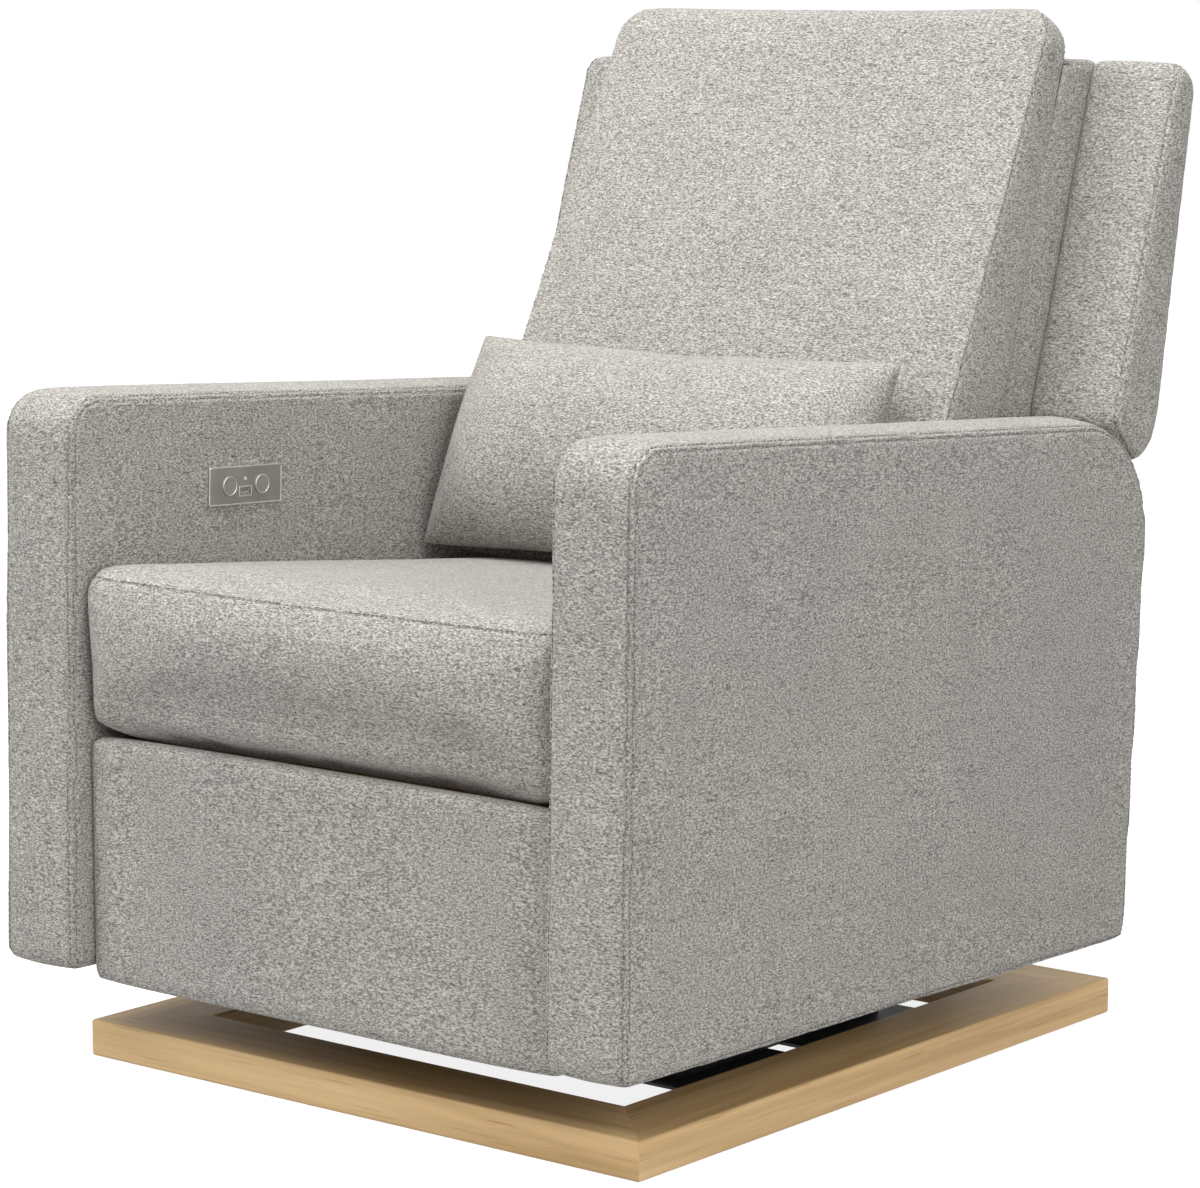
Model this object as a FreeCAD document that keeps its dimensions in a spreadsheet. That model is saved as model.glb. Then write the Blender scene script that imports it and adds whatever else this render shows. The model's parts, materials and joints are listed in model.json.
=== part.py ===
"""Glider nursery chair: a powered recliner that glides on four hanging links over a wooden ring base.

Millimetres and degrees. +X is the sitter's left as seen from the front, +Y runs back, +Z is up. The
origin is on the floor under the middle of the chair. Places along the chair are counted back from the
front face of the arms; AT_FRONT turns them into the chair's own Y.
"""

import FreeCAD, Part
import math
import os
import re

import Sketcher

SIZES = {
    # whole chair
    "width": 760, "depth": 906, "height": 1008,
    # wooden ring base
    "ring_width": 676, "ring_setback": 72, "ring_rear_setback": 73, "ring_height": 36.6,
    "ring_rail_width": 84, "ring_edge_round": 3,
    # pressed steel cross plates inside the ring
    "pan_top": 16, "pan_thickness": 3, "pan_flange": 18, "pan_front_start": 290, "pan_front_width": 167,
    "pan_rear_start": 484, "pan_rear_width": 191,
    "screw_radius": 2.2, "screw_length": 20, "screw_head_radius": 4.5, "screw_head_height": 2.2,
    "screw_inset": 35, "screw_height": 26, "screw_clearance": 0.05,
    # hanging links of the glide
    "glide_gauge": 186, "steel": 4, "glide_front": 345, "glide_rear_inset": 291, "hanger_height": 218,
    "link_length": 140, "link_width": 26, "link_thickness": 5, "link_gap": 8, "hanger_margin": 26,
    "hanger_rise": 22, "hanger_foot": 30, "hanger_foot_thickness": 3, "hanger_window": 28,
    "bush_radius": 10, "bush_length": 8, "pin_radius": 6, "pin_head_radius": 10, "pin_head": 4,
    "running_clearance": 0.05, "fixed_clearance": 0.02,
    # chassis of the recliner mechanism
    "rail_gap": 5, "rail_height": 36, "rail_start": 240, "rail_end_inset": 171,
    "tube_size": 20, "tube_wall": 2, "tube_front": 250, "tube_rear_inset": 206,
    "side_board": 22, "side_board_start": 140, "side_board_end_inset": 256, "side_board_low": 130,
    "side_board_high": 250, "plate_front": 74, "plate_front_low": 140, "plate_front_high": 318,
    "plate_front_neck": 285, "plate_step": 262, "plate_step_front": 260, "plate_step_rear_inset": 306,
    "plate_rear_inset": 181, "plate_lug": 22,
    "recline_inset": 226, "recline_height": 330, "recline_pin_radius": 6, "plate_gap": 2,
    # footrest links
    "link_a_from_front": 90, "link_a_height": 292.3, "link_a_length": 183.1, "link_a_angle": -55.9,
    "crank_back": 42.4, "crank_drop": 14.7, "link_b_length": 185.3, "link_b_angle": 125.1,
    "toe_back": 97.5, "toe_drop": 192.4,
    "panel_pin_forward": 8.9, "panel_pin_drop": 43.8, "foot_link_width": 20, "foot_pin_radius": 4,
    "foot_pin_head_radius": 6.5, "foot_pin_head": 2.2, "slot_clearance": 1.6,
    # footrest panel
    "panel_front": 26, "panel_bottom": 94, "panel_top": 325, "panel_pad": 22, "panel_board": 12,
    "panel_board_inset": 8, "panel_gap": 2, "bracket_margin": 12,
    # seat
    "seat_front": 9, "seat_depth": 591, "seat_top_front": 493, "seat_thickness": 155, "seat_slope": 5.4,
    "seat_gap": 2.5, "seat_round": 30, "spring_gap": 1, "spring_wire": 1.6, "spring_seat": 0.1,
    "spring_swing": 20, "spring_pitch": 24, "spring_spacing": 96, "seat_rail_front": 104,
    "seat_rail_depth": 22, "seat_rail_bottom_front": 297, "seat_rail_rear": 574,
    "seat_rail_bottom_rear": 250,
    # arms
    "arm_thickness": 92, "arm_foot_front": 104, "arm_foot_rear": 90, "arm_front_lean": 12,
    "arm_top_front": 648, "arm_rear_inset": 76, "arm_top_rear": 602, "arm_rear_lean": 35,
    "arm_front_round": 38, "arm_rear_round": 115, "arm_foot_round": 11,
    "core_thickness": 50, "core_inset": 40, "core_clearance": 0.3,
    # control panel in the arm on the sitter's right
    "control_from_front": 240.5, "control_height": 545, "control_length": 101, "control_width": 38,
    "control_thickness": 2.2, "control_tilt": -2.3, "button_radius": 9.75,
    "button_spacing": 45, "button_proud": 1.2, "button_stem": 5, "button_flange_radius": 11.5,
    "button_flange": 1.2, "button_travel": 1, "button_clearance": 0.2, "housing_depth": 26,
    "housing_wall": 2, "housing_inset": 4, "pocket_clearance": 3, "socket_width": 14.5,
    "socket_height": 7, "socket_depth": 15, "socket_wall": 0.7, "socket_tongue": 1.9,
    "socket_drop": 6, "socket_gap": 0.1,
    # low rear panel between the arms
    "rear_panel_inset": 128, "rear_panel_thickness": 12, "rear_panel_bottom": 100,
    "rear_panel_top": 300, "arm_fit": 0.3,
    # reclining back: side view points, counted forward from the rearmost point
    "cushion_foot_front_inset": 369, "cushion_foot_front": 446, "cushion_foot_rear_inset": 247,
    "cushion_foot_rear": 436, "cushion_top_front_inset": 101, "cushion_top_drop": 9,
    "cushion_crown_inset": 84, "cushion_top_rear_inset": 60, "cushion_top_rear_drop": 22,
    "cushion_side_gap": 9,
    "wing_nose_inset": 138, "wing_nose": 604, "wing_heel_inset": 98, "wing_heel": 562,
    "wing_tail_inset": 68, "wing_tail": 580, "wing_back_inset": 56, "wing_back": 612,
    "wing_rear_drop": 80, "wing_top_inset": 22, "wing_top_drop": 54, "wing_front_inset": 32,
    "wing_front_drop": 62, "wing_inner_gap": 4, "wing_side_inset": 4,
    "outer_foot_inset": 90, "outer_foot": 400, "outer_thickness": 14,
    "outer_return_inset": 64, "post_foot": 430, "post_top_drop": 90, "post_gap": 0.5,
    "post_depth": 35, "post_width": 34, "back_rail_height": 20, "outer_fit": 0.3,
    "bracket_top": 640, "bracket_waist": 430, "bracket_nose": 18, "bracket_round": 24,
    # drive
    "motor_length": 90, "motor_width": 64, "motor_height": 70,
    "track_width": 30, "track_height": 18, "slide_length": 60, "slide_wrap": 6, "slide_lead": 60,
    "drive_clearance": 0.3, "inlet_size": 34, "inlet_depth": 30, "inlet_side": 120,
    "inlet_radius": 4, "inlet_hole_depth": 14,
    # loose lumbar pillow
    "pillow_width": 520, "pillow_height": 228, "pillow_thickness": 110, "pillow_side": 20,
    "pillow_gap": 0.5,
}

DOC = FreeCAD.newDocument("glider_nursery_chair")
SHEET = DOC.addObject("Spreadsheet::Sheet", "Sizes")
NODES = []
SIDES = {"left": -1, "right": 1}
AT_FRONT = "-depth / 2"


def fill_sheet():
    for row, (alias, number) in enumerate(SIZES.items(), start=1):
        SHEET.set(f"A{row}", alias)
        SHEET.set(f"B{row}", str(number))
        SHEET.setAlias(f"B{row}", alias)
    DOC.recompute()


def bind(text):
    """Names of sizes in an expression, as references to the sheet."""
    return re.sub(r"[a-z][a-z_]*", lambda m: f"Sizes.{m[0]}" if m[0] in SIZES else m[0], str(text))


def value(text):
    return float(SHEET.evalExpression(bind(text)))


def along(text):
    """A distance back from the arm fronts, as the chair's own Y."""
    return f"({text}) + {AT_FRONT}"


def node(thing, label):
    thing.Label = label
    NODES.append(thing)
    return thing


# ---------------------------------------------------------------- sketches and solids

PLANES = {"x": "YZ_Plane", "y": "XZ_Plane", "z": "XY_Plane"}


def new_body(label):
    return node(DOC.addObject("PartDesign::Body", label), label)


def new_sketch(body, axis, offset="0"):
    """A sketch on the origin plane normal to one axis, moved along it by offset."""
    sketch = body.newObject("Sketcher::SketchObject", f"{body.Name}_sketch")
    plane = [p for p in body.Origin.OriginFeatures if p.Role == PLANES[axis]][0]
    sketch.AttachmentSupport = [(plane, "")]
    sketch.MapMode = "FlatFace"
    facing = "-" if axis == "y" else ""
    sketch.setExpression("AttachmentOffset.Base.z", bind(f"{facing}({offset})"))
    return sketch


def pin_point(sketch, geometry, position, across, up):
    """Hold one point of a sketch at a place given by two expressions."""
    for kind, text in (("DistanceX", across), ("DistanceY", up)):
        number = value(text)
        index = sketch.addConstraint(Sketcher.Constraint(kind, -1, 1, geometry, position, number))
        sketch.setExpression(f"Constraints[{index}]", bind(text))


def add_outline(sketch, corners):
    """A closed polygon; every corner is a pair of expressions."""
    places = [FreeCAD.Vector(value(a), value(b), 0) for a, b in corners]
    first = sketch.GeometryCount
    count = len(places)
    for i in range(count):
        sketch.addGeometry(Part.LineSegment(places[i], places[(i + 1) % count]), False)
    for i in range(count):
        following = first + (i + 1) % count
        sketch.addConstraint(Sketcher.Constraint("Coincident", first + i, 2, following, 1))
    for i, (across, up) in enumerate(corners):
        pin_point(sketch, first + i, 1, across, up)


def add_circle(sketch, across, up, radius):
    centre = FreeCAD.Vector(value(across), value(up), 0)
    circle = Part.Circle(centre, FreeCAD.Vector(0, 0, 1), value(radius))
    index = sketch.addGeometry(circle, False)
    pin_point(sketch, index, 3, across, up)
    number = sketch.addConstraint(Sketcher.Constraint("Radius", index, value(radius)))
    sketch.setExpression(f"Constraints[{number}]", bind(radius))


def add_pad(body, sketch, length, axis):
    """Pad a sketch towards the positive axis."""
    pad = body.newObject("PartDesign::Pad", f"{body.Name}_pad")
    pad.Profile = sketch
    pad.Reversed = axis == "y"
    pad.setExpression("Length", bind(length))
    return pad


def add_pocket(body, sketch, length, axis):
    """Cut a sketch towards the positive axis, and make sure that it cuts."""
    DOC.recompute()
    before = body.Shape.Volume
    pocket = body.newObject("PartDesign::Pocket", f"{body.Name}_pocket")
    pocket.Profile = sketch
    pocket.Reversed = axis != "y"
    pocket.setExpression("Length", bind(length))
    DOC.recompute()
    if not body.Shape.Volume < before:
        raise RuntimeError(f"{body.Label}: a pocket cuts nothing")
    return pocket


def prism(label, axis, start, length, corners, circles=()):
    """A body padded along an axis from a polygon, with round holes."""
    body = new_body(label)
    add_prism(body, axis, start, length, corners, circles)
    return body


def add_prism(body, axis, start, length, corners, circles=()):
    sketch = new_sketch(body, axis, start)
    add_outline(sketch, corners)
    for circle in circles:
        add_circle(sketch, *circle)
    add_pad(body, sketch, length, axis)


def place(thing, x="0", y="0", z="0", angle=None, turn=(1, 0, 0)):
    """Put a sub-part by expressions, with an optional turn about an axis."""
    thing.Placement = FreeCAD.Placement(FreeCAD.Vector(), FreeCAD.Rotation(FreeCAD.Vector(*turn), 1))
    thing.setExpression("Placement.Rotation.Angle", bind(angle if angle is not None else "0"))
    for axis, text in zip("xyz", (x, y, z)):
        thing.setExpression(f"Placement.Base.{axis}", bind(text))


def mirrored_start(side, inner, thickness):
    """Where a slab that lies between inner and inner + thickness starts, on either side."""
    return inner if side > 0 else f"-({inner}) - ({thickness})"


def side_prism(name, side, inner, thickness, corners, circles=()):
    """One of a left and right pair of flat pieces that stand upright along the chair."""
    word = "right" if side > 0 else "left"
    start = mirrored_start(side, inner, thickness)
    return prism(f"{name}_{word}", "x", start, thickness, corners, circles)


def box(label, corner, size):
    block = DOC.addObject("Part::Box", label)
    for name, text in zip(("Length", "Width", "Height"), size):
        block.setExpression(name, bind(text))
    place(block, *corner)
    return block


def cylinder_x(name, start, y, z, radius, length):
    """A cylinder along X that starts at one place and runs towards +X."""
    rod = DOC.addObject("Part::Cylinder", name)
    rod.setExpression("Radius", bind(radius))
    rod.setExpression("Height", bind(length))
    place(rod, start, y, z, "90", (0, 1, 0))
    return rod


def side_rod(name, side, inner, outer, y, z, radius):
    """A cylinder along X between two distances from the middle plane, on either side."""
    start = inner if side > 0 else f"-({outer})"
    return cylinder_x(name, start, y, z, radius, f"({outer}) - ({inner})")


def fused(name, pieces):
    joined = DOC.addObject("Part::MultiFuse", name)
    joined.Shapes = pieces
    return joined


def group(label, pieces):
    """Like pieces that share one node, each still a solid of its own."""
    for piece in pieces:
        if piece in NODES:
            NODES.remove(piece)
    together = DOC.addObject("Part::Compound", label)
    together.Links = pieces
    return node(together, label)


def pair(label, make):
    """The left and right pieces that make(side) returns, as one node."""
    return group(label, [make(side) for side in SIDES.values()])


def headed_pins(label, places, shank, radius, head, head_radius):
    """A group of headed pins. shank and head are (inner, outer) distances from the middle plane."""
    pins = []
    for index, (side, y, z) in enumerate(places):
        body = side_rod(f"{label}_shank_{index}", side, *shank, y, z, radius)
        cap = side_rod(f"{label}_head_{index}", side, *head, y, z, head_radius)
        pins.append(fused(f"{label}_pin_{index}", [body, cap]))
    return group(label, pins)


def round_edges(body, corners, radius):
    """Round the edges along X that pass through the given side-view corners."""
    DOC.recompute()
    tip = body.Tip
    targets = [(value(y), value(z)) for y, z in corners]
    names = []
    for number, edge in enumerate(tip.Shape.Edges, start=1):
        box_of = edge.BoundBox
        if box_of.YLength > 1e-3 or box_of.ZLength > 1e-3:
            continue
        middle = box_of.Center
        if any(math.hypot(middle.y - y, middle.z - z) < 0.01 for y, z in targets):
            names.append(f"Edge{number}")
    if len(names) != len(corners):
        raise RuntimeError(f"{body.Label}: {len(names)} edges found for {len(corners)} corners")
    fillet = body.newObject("PartDesign::Fillet", f"{body.Name}_fillet")
    fillet.Base = (tip, names)
    fillet.setExpression("Radius", bind(radius))
    body.Tip = fillet
    DOC.recompute()


# ---------------------------------------------------------------- places shared by several pieces

ARM_INNER = "(width / 2 - arm_thickness)"
PLATE_OUTER = f"({ARM_INNER} - side_board)"
PLATE_INNER = f"({PLATE_OUTER} - steel)"
LAYER_A = f"({PLATE_INNER} - plate_gap - steel)"
LAYER_B = f"({LAYER_A} - plate_gap - steel)"
LAYER_PANEL = f"({LAYER_B} - plate_gap - steel)"
HANGER_OUTER = "(glide_gauge + steel)"
LINK_INNER = f"({HANGER_OUTER} + link_gap)"
LINK_OUTER = f"({LINK_INNER} + link_thickness)"
RAIL_INNER = f"({LINK_OUTER} + rail_gap)"
RAIL_OUTER = f"({RAIL_INNER} + steel)"
GLIDE_REAR = "(depth - glide_rear_inset)"
LOWER_PIVOT = "(hanger_height - link_length)"
RAIL_TOP = f"({LOWER_PIVOT} + rail_height / 2)"
RECLINE_AXIS = (along("depth - recline_inset"), "recline_height")
UNDER_SEAT_FRONT = "(seat_top_front - seat_thickness)"


def seat_top(y):
    return f"seat_top_front - ({y}) * tan(seat_slope)"


def seat_underside(y):
    return f"{UNDER_SEAT_FRONT} - ({y}) * tan(seat_slope)"


def side_view(corners):
    return [(along(y), z) for y, z in corners]


# ---------------------------------------------------------------- wooden ring base

def ring_rails():
    """Four mitred rails with lightly rounded long edges."""
    outer = "ring_width / 2"
    inner = "ring_width / 2 - ring_rail_width"
    front, rear = along("ring_setback"), along("depth - ring_rear_setback")
    front_in = along("ring_setback + ring_rail_width")
    rear_in = along("depth - ring_rear_setback - ring_rail_width")
    across = {
        "front": [(f"-({outer})", front), (outer, front), (inner, front_in), (f"-({inner})", front_in)],
        "rear": [(f"-({outer})", rear), (outer, rear), (inner, rear_in), (f"-({inner})", rear_in)],
    }
    for name, corners in across.items():
        rail = prism(f"base_rail_{name}", "z", "0", "ring_height", corners)
        round_long_edges(rail, "X")
    for name, side in SIDES.items():
        corners = [(f"{side} * ({outer})", front), (f"{side} * ({outer})", rear),
                   (f"{side} * ({inner})", rear_in), (f"{side} * ({inner})", front_in)]
        rail = prism(f"base_rail_{name}", "z", "0", "ring_height", corners)
        drill_rail(rail, side, f"{side} * ({inner})")
        round_long_edges(rail, "Y")


def drill_rail(rail, side, inner_face):
    """Pilot holes for the screws that hold the cross plates."""
    start = inner_face if side > 0 else f"{inner_face} - screw_length"
    sketch = new_sketch(rail, "x", start)
    for y in screw_places():
        add_circle(sketch, y, "screw_height", "screw_radius + screw_clearance")
    add_pocket(rail, sketch, "screw_length", "x")


def round_long_edges(rail, direction):
    DOC.recompute()
    tip = rail.Tip
    names = []
    for number, edge in enumerate(tip.Shape.Edges, start=1):
        spans = {"X": edge.BoundBox.XLength, "Y": edge.BoundBox.YLength, "Z": edge.BoundBox.ZLength}
        others = [spans[k] for k in spans if k != direction]
        if spans[direction] > value("ring_rail_width") and max(others) < 1e-3:
            names.append(f"Edge{number}")
    fillet = rail.newObject("PartDesign::Fillet", f"{rail.Name}_fillet")
    fillet.Base = (tip, names)
    fillet.setExpression("Radius", bind("ring_edge_round"))
    rail.Tip = fillet
    DOC.recompute()


def screw_places():
    spots = []
    for start, width in (("pan_front_start", "pan_front_width"), ("pan_rear_start", "pan_rear_width")):
        spots.append(along(f"{start} + screw_inset"))
        spots.append(along(f"{start} + {width} - screw_inset"))
    return spots


def cross_plates():
    """Two pressed plates whose ends turn up against the side rails."""
    half = "(ring_width / 2 - ring_rail_width)"
    low, top, up = "pan_top - pan_thickness", "pan_top", "pan_top + pan_flange"
    inner = f"({half} - pan_thickness)"
    corners = [(f"-{half}", low), (half, low), (half, up), (inner, up), (inner, top),
               (f"-{inner}", top), (f"-{inner}", up), (f"-{half}", up)]
    for name in ("front", "rear"):
        start = along(f"pan_{name}_start")
        pan = prism(f"base_cross_plate_{name}", "y", start, f"pan_{name}_width", corners)
        sketch = new_sketch(pan, "x", f"-{half}")
        for edge in ("screw_inset", f"pan_{name}_width - screw_inset"):
            add_circle(sketch, f"{start} + {edge}", "screw_height", "screw_radius + screw_clearance")
        add_pocket(pan, sketch, f"2 * {half}", "x")


def base_screws():
    half = "(ring_width / 2 - ring_rail_width)"
    inner = f"({half} - pan_thickness)"
    shank = (inner, f"{inner} + screw_length")
    head = (f"{inner} - screw_head_height", inner)
    places = [(side, y, "screw_height") for side in SIDES.values() for y in screw_places()]
    headed_pins("base_screws", places, shank, "screw_radius", head, "screw_head_radius")


# ---------------------------------------------------------------- glide

def hangers():
    """Upright plates on the cross plates that carry the upper pivots."""
    start, end = "glide_front - hanger_margin", f"{GLIDE_REAR} + hanger_margin"
    top = "hanger_height + hanger_rise"
    corners = side_view([(start, "pan_top"), (end, "pan_top"), (end, top), (start, top)])
    hole = "pin_radius + fixed_clearance"
    middle = f"(glide_front + {GLIDE_REAR}) / 2"
    spread = f"({GLIDE_REAR} - glide_front) / 4"
    windows = [(along(f"{middle} + {k} * {spread}"), "hanger_height / 2", "hanger_window")
               for k in (-1, 1)]
    pivots = [(along("glide_front"), "hanger_height", hole), (along(GLIDE_REAR), "hanger_height", hole)]
    for side in SIDES.values():
        hanger = side_prism("glide_hanger", side, "glide_gauge", "steel", corners, pivots + windows)
        foot = mirrored_start(side, "glide_gauge - hanger_foot", "hanger_foot")
        foot_corners = side_view([(start, "pan_top"), (end, "pan_top"),
                                  (end, "pan_top + hanger_foot_thickness"),
                                  (start, "pan_top + hanger_foot_thickness")])
        add_prism(hanger, "x", foot, "hanger_foot", foot_corners)


def round_bar(name, side, inner, thickness, length, width, holes):
    """A flat link with round ends, drawn along its own Y from its first pivot."""
    word = "right" if side > 0 else "left"
    bar = new_body(f"{name}_{word}")
    sketch = new_sketch(bar, "x", mirrored_start(side, inner, thickness))
    half = value(width) / 2
    reach = value(length)
    normal = FreeCAD.Vector(0, 0, 1)
    first = Part.Circle(FreeCAD.Vector(0, 0, 0), normal, half)
    last = Part.Circle(FreeCAD.Vector(reach, 0, 0), normal, half)
    sketch.addGeometry(Part.ArcOfCircle(first, math.pi / 2, 3 * math.pi / 2), False)
    sketch.addGeometry(Part.LineSegment(FreeCAD.Vector(0, -half, 0), FreeCAD.Vector(reach, -half, 0)), False)
    sketch.addGeometry(Part.ArcOfCircle(last, -math.pi / 2, math.pi / 2), False)
    sketch.addGeometry(Part.LineSegment(FreeCAD.Vector(reach, half, 0), FreeCAD.Vector(0, half, 0)), False)
    for one, end, two, start in ((0, 2, 1, 1), (1, 2, 2, 1), (2, 2, 3, 1), (3, 2, 0, 1)):
        sketch.addConstraint(Sketcher.Constraint("Tangent", one, end, two, start))
    sketch.addConstraint(Sketcher.Constraint("Coincident", 0, 3, -1, 1))
    sketch.addConstraint(Sketcher.Constraint("Horizontal", 1))
    for kind, number, text in (("Radius", half, f"({width}) / 2"), ("DistanceX", reach, length)):
        items = (0, number) if kind == "Radius" else (0, 3, 2, 3, number)
        index = sketch.addConstraint(Sketcher.Constraint(kind, *items))
        sketch.setExpression(f"Constraints[{index}]", bind(text))
    for across, radius in holes:
        add_circle(sketch, across, "0", radius)
    add_pad(bar, sketch, thickness, "x")
    return bar


def glide_links():
    """Four links that hang from the hangers and carry the chassis rails."""
    hole = "bush_radius + fixed_clearance"
    ends = [("0", hole), ("link_length", hole)]
    for row, y in (("front", "glide_front"), ("rear", GLIDE_REAR)):
        links = []
        for side in SIDES.values():
            link = round_bar(f"glide_link_{row}", side, LINK_INNER, "link_thickness", "link_length",
                             "link_width", ends)
            place(link, "0", along(y), "hanger_height", "-90")
            links.append(link)
        group(f"glide_links_{row}", links)
        bushes(row, y)


def bushes(row, y):
    """Nylon bushes pressed in both eyes of a pair of links."""
    middle = f"({LINK_INNER} + link_thickness / 2)"
    reach = (f"{middle} - bush_length / 2", f"{middle} + bush_length / 2")
    rings = []
    for word, side in SIDES.items():
        for end, z in (("upper", "hanger_height"), ("lower", LOWER_PIVOT)):
            name = f"bush_{row}_{word}_{end}"
            outer = side_rod(f"{name}_outer", side, *reach, along(y), z, "bush_radius")
            inner = side_rod(f"{name}_bore", side, *reach, along(y), z, "pin_radius + running_clearance")
            ring = DOC.addObject("Part::Cut", name)
            ring.Base = outer
            ring.Tool = inner
            rings.append(ring)
    group(f"glide_bushes_{row}", rings)


def glide_pins():
    spots = [(side, along(y), z) for side in SIDES.values() for y in ("glide_front", GLIDE_REAR)
             for z in ("hanger_height",)]
    tip = f"{LINK_OUTER} + bush_length / 2 - link_thickness / 2"
    headed_pins("glide_pins_upper", spots, ("glide_gauge", tip), "pin_radius",
                ("glide_gauge - pin_head", "glide_gauge"), "pin_head_radius")
    low = [(side, y, LOWER_PIVOT) for side, y, z in spots]
    start = f"{LINK_INNER} - bush_length / 2 + link_thickness / 2"
    headed_pins("glide_pins_lower", low, (start, RAIL_OUTER), "pin_radius",
                (RAIL_OUTER, f"{RAIL_OUTER} + pin_head"), "pin_head_radius")


# ---------------------------------------------------------------- chassis

def glide_rails():
    low, top = f"{LOWER_PIVOT} - rail_height / 2", RAIL_TOP
    start, end = "rail_start", "depth - rail_end_inset"
    corners = side_view([(start, low), (end, low), (end, top), (start, top)])
    hole = "pin_radius + fixed_clearance"
    pivots = [(along(y), LOWER_PIVOT, hole) for y in ("glide_front", GLIDE_REAR)]
    for side in SIDES.values():
        side_prism("glide_rail", side, RAIL_INNER, "steel", corners, pivots)


def square_tube(label, start):
    """A square tube that stands on the glide rails and spans between the side plates."""
    size = ("2 * " + PLATE_INNER, "tube_size", "tube_size")
    outer = box(f"{label}_outer", (f"-{PLATE_INNER}", along(start), RAIL_TOP), size)
    bore = ("2 * " + PLATE_INNER, "tube_size - 2 * tube_wall", "tube_size - 2 * tube_wall")
    corner = (f"-{PLATE_INNER}", along(f"{start} + tube_wall"), f"{RAIL_TOP} + tube_wall")
    inner = box(f"{label}_bore", corner, bore)
    tube = DOC.addObject("Part::Cut", label)
    tube.Base = outer
    tube.Tool = inner
    return tube


def chassis_tubes():
    starts = {"front": "tube_front", "rear": "depth - tube_rear_inset"}
    group("chassis_tubes", [square_tube(f"chassis_tube_{name}", start) for name, start in starts.items()])


def side_plates():
    """Steel plates that carry the footrest links in front and the back hinge behind."""
    rear = "depth - plate_rear_inset"
    lug_y = "depth - recline_inset"
    lug_top = "recline_height + plate_lug"
    corners = side_view([
        ("plate_front_low", RAIL_TOP), (rear, RAIL_TOP), (rear, "plate_step"),
        (f"{lug_y} + plate_lug", lug_top), (f"{lug_y} - plate_lug", lug_top),
        ("depth - plate_step_rear_inset", "plate_step"), ("plate_step_front", "plate_step"),
        ("plate_step_front - plate_lug", "plate_front_high - plate_lug"),
        ("plate_front", "plate_front_high"), ("plate_front", "plate_front_neck - plate_lug"),
    ])
    foot = "foot_pin_radius + fixed_clearance"
    holes = [
        (along("link_a_from_front"), "link_a_height", foot),
        (along("link_a_from_front + crank_back"), "link_a_height - crank_drop", foot),
        (*RECLINE_AXIS, "recline_pin_radius + fixed_clearance"),
    ]
    for side in SIDES.values():
        side_prism("mechanism_plate", side, PLATE_INNER, "steel", corners, holes)


def side_boards():
    """Timber rails between the mechanism plates and the arms."""
    corners = side_view([
        ("side_board_start", "side_board_low"), ("depth - side_board_end_inset", "side_board_low"),
        ("depth - side_board_end_inset", "side_board_high"), ("side_board_start", "side_board_high"),
    ])
    pair("seat_side_rails", lambda side: side_prism("seat_side_rail", side, PLATE_OUTER, "side_board", corners))


def seat_rails():
    """Timber rails across the chair whose tops follow the slope of the seat."""
    drop = "(spring_gap + 2 * spring_wire + spring_seat)"
    rails = []
    for name in ("front", "rear"):
        start = f"seat_rail_{name}"
        end = f"{start} + seat_rail_depth"
        corners = side_view([
            (start, f"seat_rail_bottom_{name}"), (end, f"seat_rail_bottom_{name}"),
            (end, f"{seat_underside(end)} - {drop}"), (start, f"{seat_underside(start)} - {drop}"),
        ])
        rails.append(prism(f"seat_rail_{name}", "x", f"-{PLATE_INNER}", f"2 * {PLATE_INNER}", corners))
    group("seat_cross_rails", rails)


def zigzag(start, end, swing, pitch):
    """The centre line of a sinuous spring in its own plane: straight runs joined by half turns."""
    half_pitch = pitch / 2
    count = int((end - start) / half_pitch) - 1
    run = swing - half_pitch / 2
    edges = []
    here = FreeCAD.Vector(-run, start, 0)
    for turn in range(count):
        sign = 1 if turn % 2 == 0 else -1
        far = FreeCAD.Vector(sign * run, here.y, 0)
        beyond = FreeCAD.Vector(sign * run, here.y + half_pitch, 0)
        crest = FreeCAD.Vector(sign * (run + half_pitch / 2), here.y + half_pitch / 2, 0)
        edges.append(Part.LineSegment(here, far).toShape())
        edges.append(Part.Arc(far, crest, beyond).toShape())
        here = beyond
    return Part.Wire(edges)


def seat_springs():
    """Five sinuous springs from the front seat rail to the rear one."""
    path = zigzag(value("seat_rail_front + seat_rail_depth / 2"),
                  value("seat_rail_rear + seat_rail_depth"), value("spring_swing"), value("spring_pitch"))
    radius = value("spring_wire")
    start = path.OrderedVertexes[0].Point
    circle = Part.Circle(start, FreeCAD.Vector(1, 0, 0), radius)
    wire = Part.Wire(circle.toShape())
    spring = path.makePipeShell([wire], True, False)
    centre = value(f"{UNDER_SEAT_FRONT} - spring_gap - spring_wire")
    copies = []
    for step in range(-2, 3):
        copy = spring.copy()
        copy.Placement = FreeCAD.Placement(
            FreeCAD.Vector(step * value("spring_spacing"), value(AT_FRONT), centre),
            FreeCAD.Rotation(FreeCAD.Vector(1, 0, 0), -value("seat_slope")))
        copies.append(copy)
    feature = DOC.addObject("Part::Feature", "seat_springs")
    feature.Shape = Part.makeCompound(copies)
    feature.Placement = FreeCAD.Placement()
    node(feature, "seat_springs")


def seat_cushion():
    half = f"({ARM_INNER} - seat_gap)"
    rear = "seat_front + seat_depth"
    corners = side_view([
        ("seat_front", seat_underside("seat_front")), (rear, seat_underside(rear)),
        (rear, seat_top(rear)), ("seat_front", seat_top("seat_front")),
    ])
    cushion = prism("seat_cushion", "x", f"-{half}", f"2 * {half}", corners)
    round_edges(cushion, [corners[3]], "seat_round")


# ---------------------------------------------------------------- arms and controls

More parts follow.
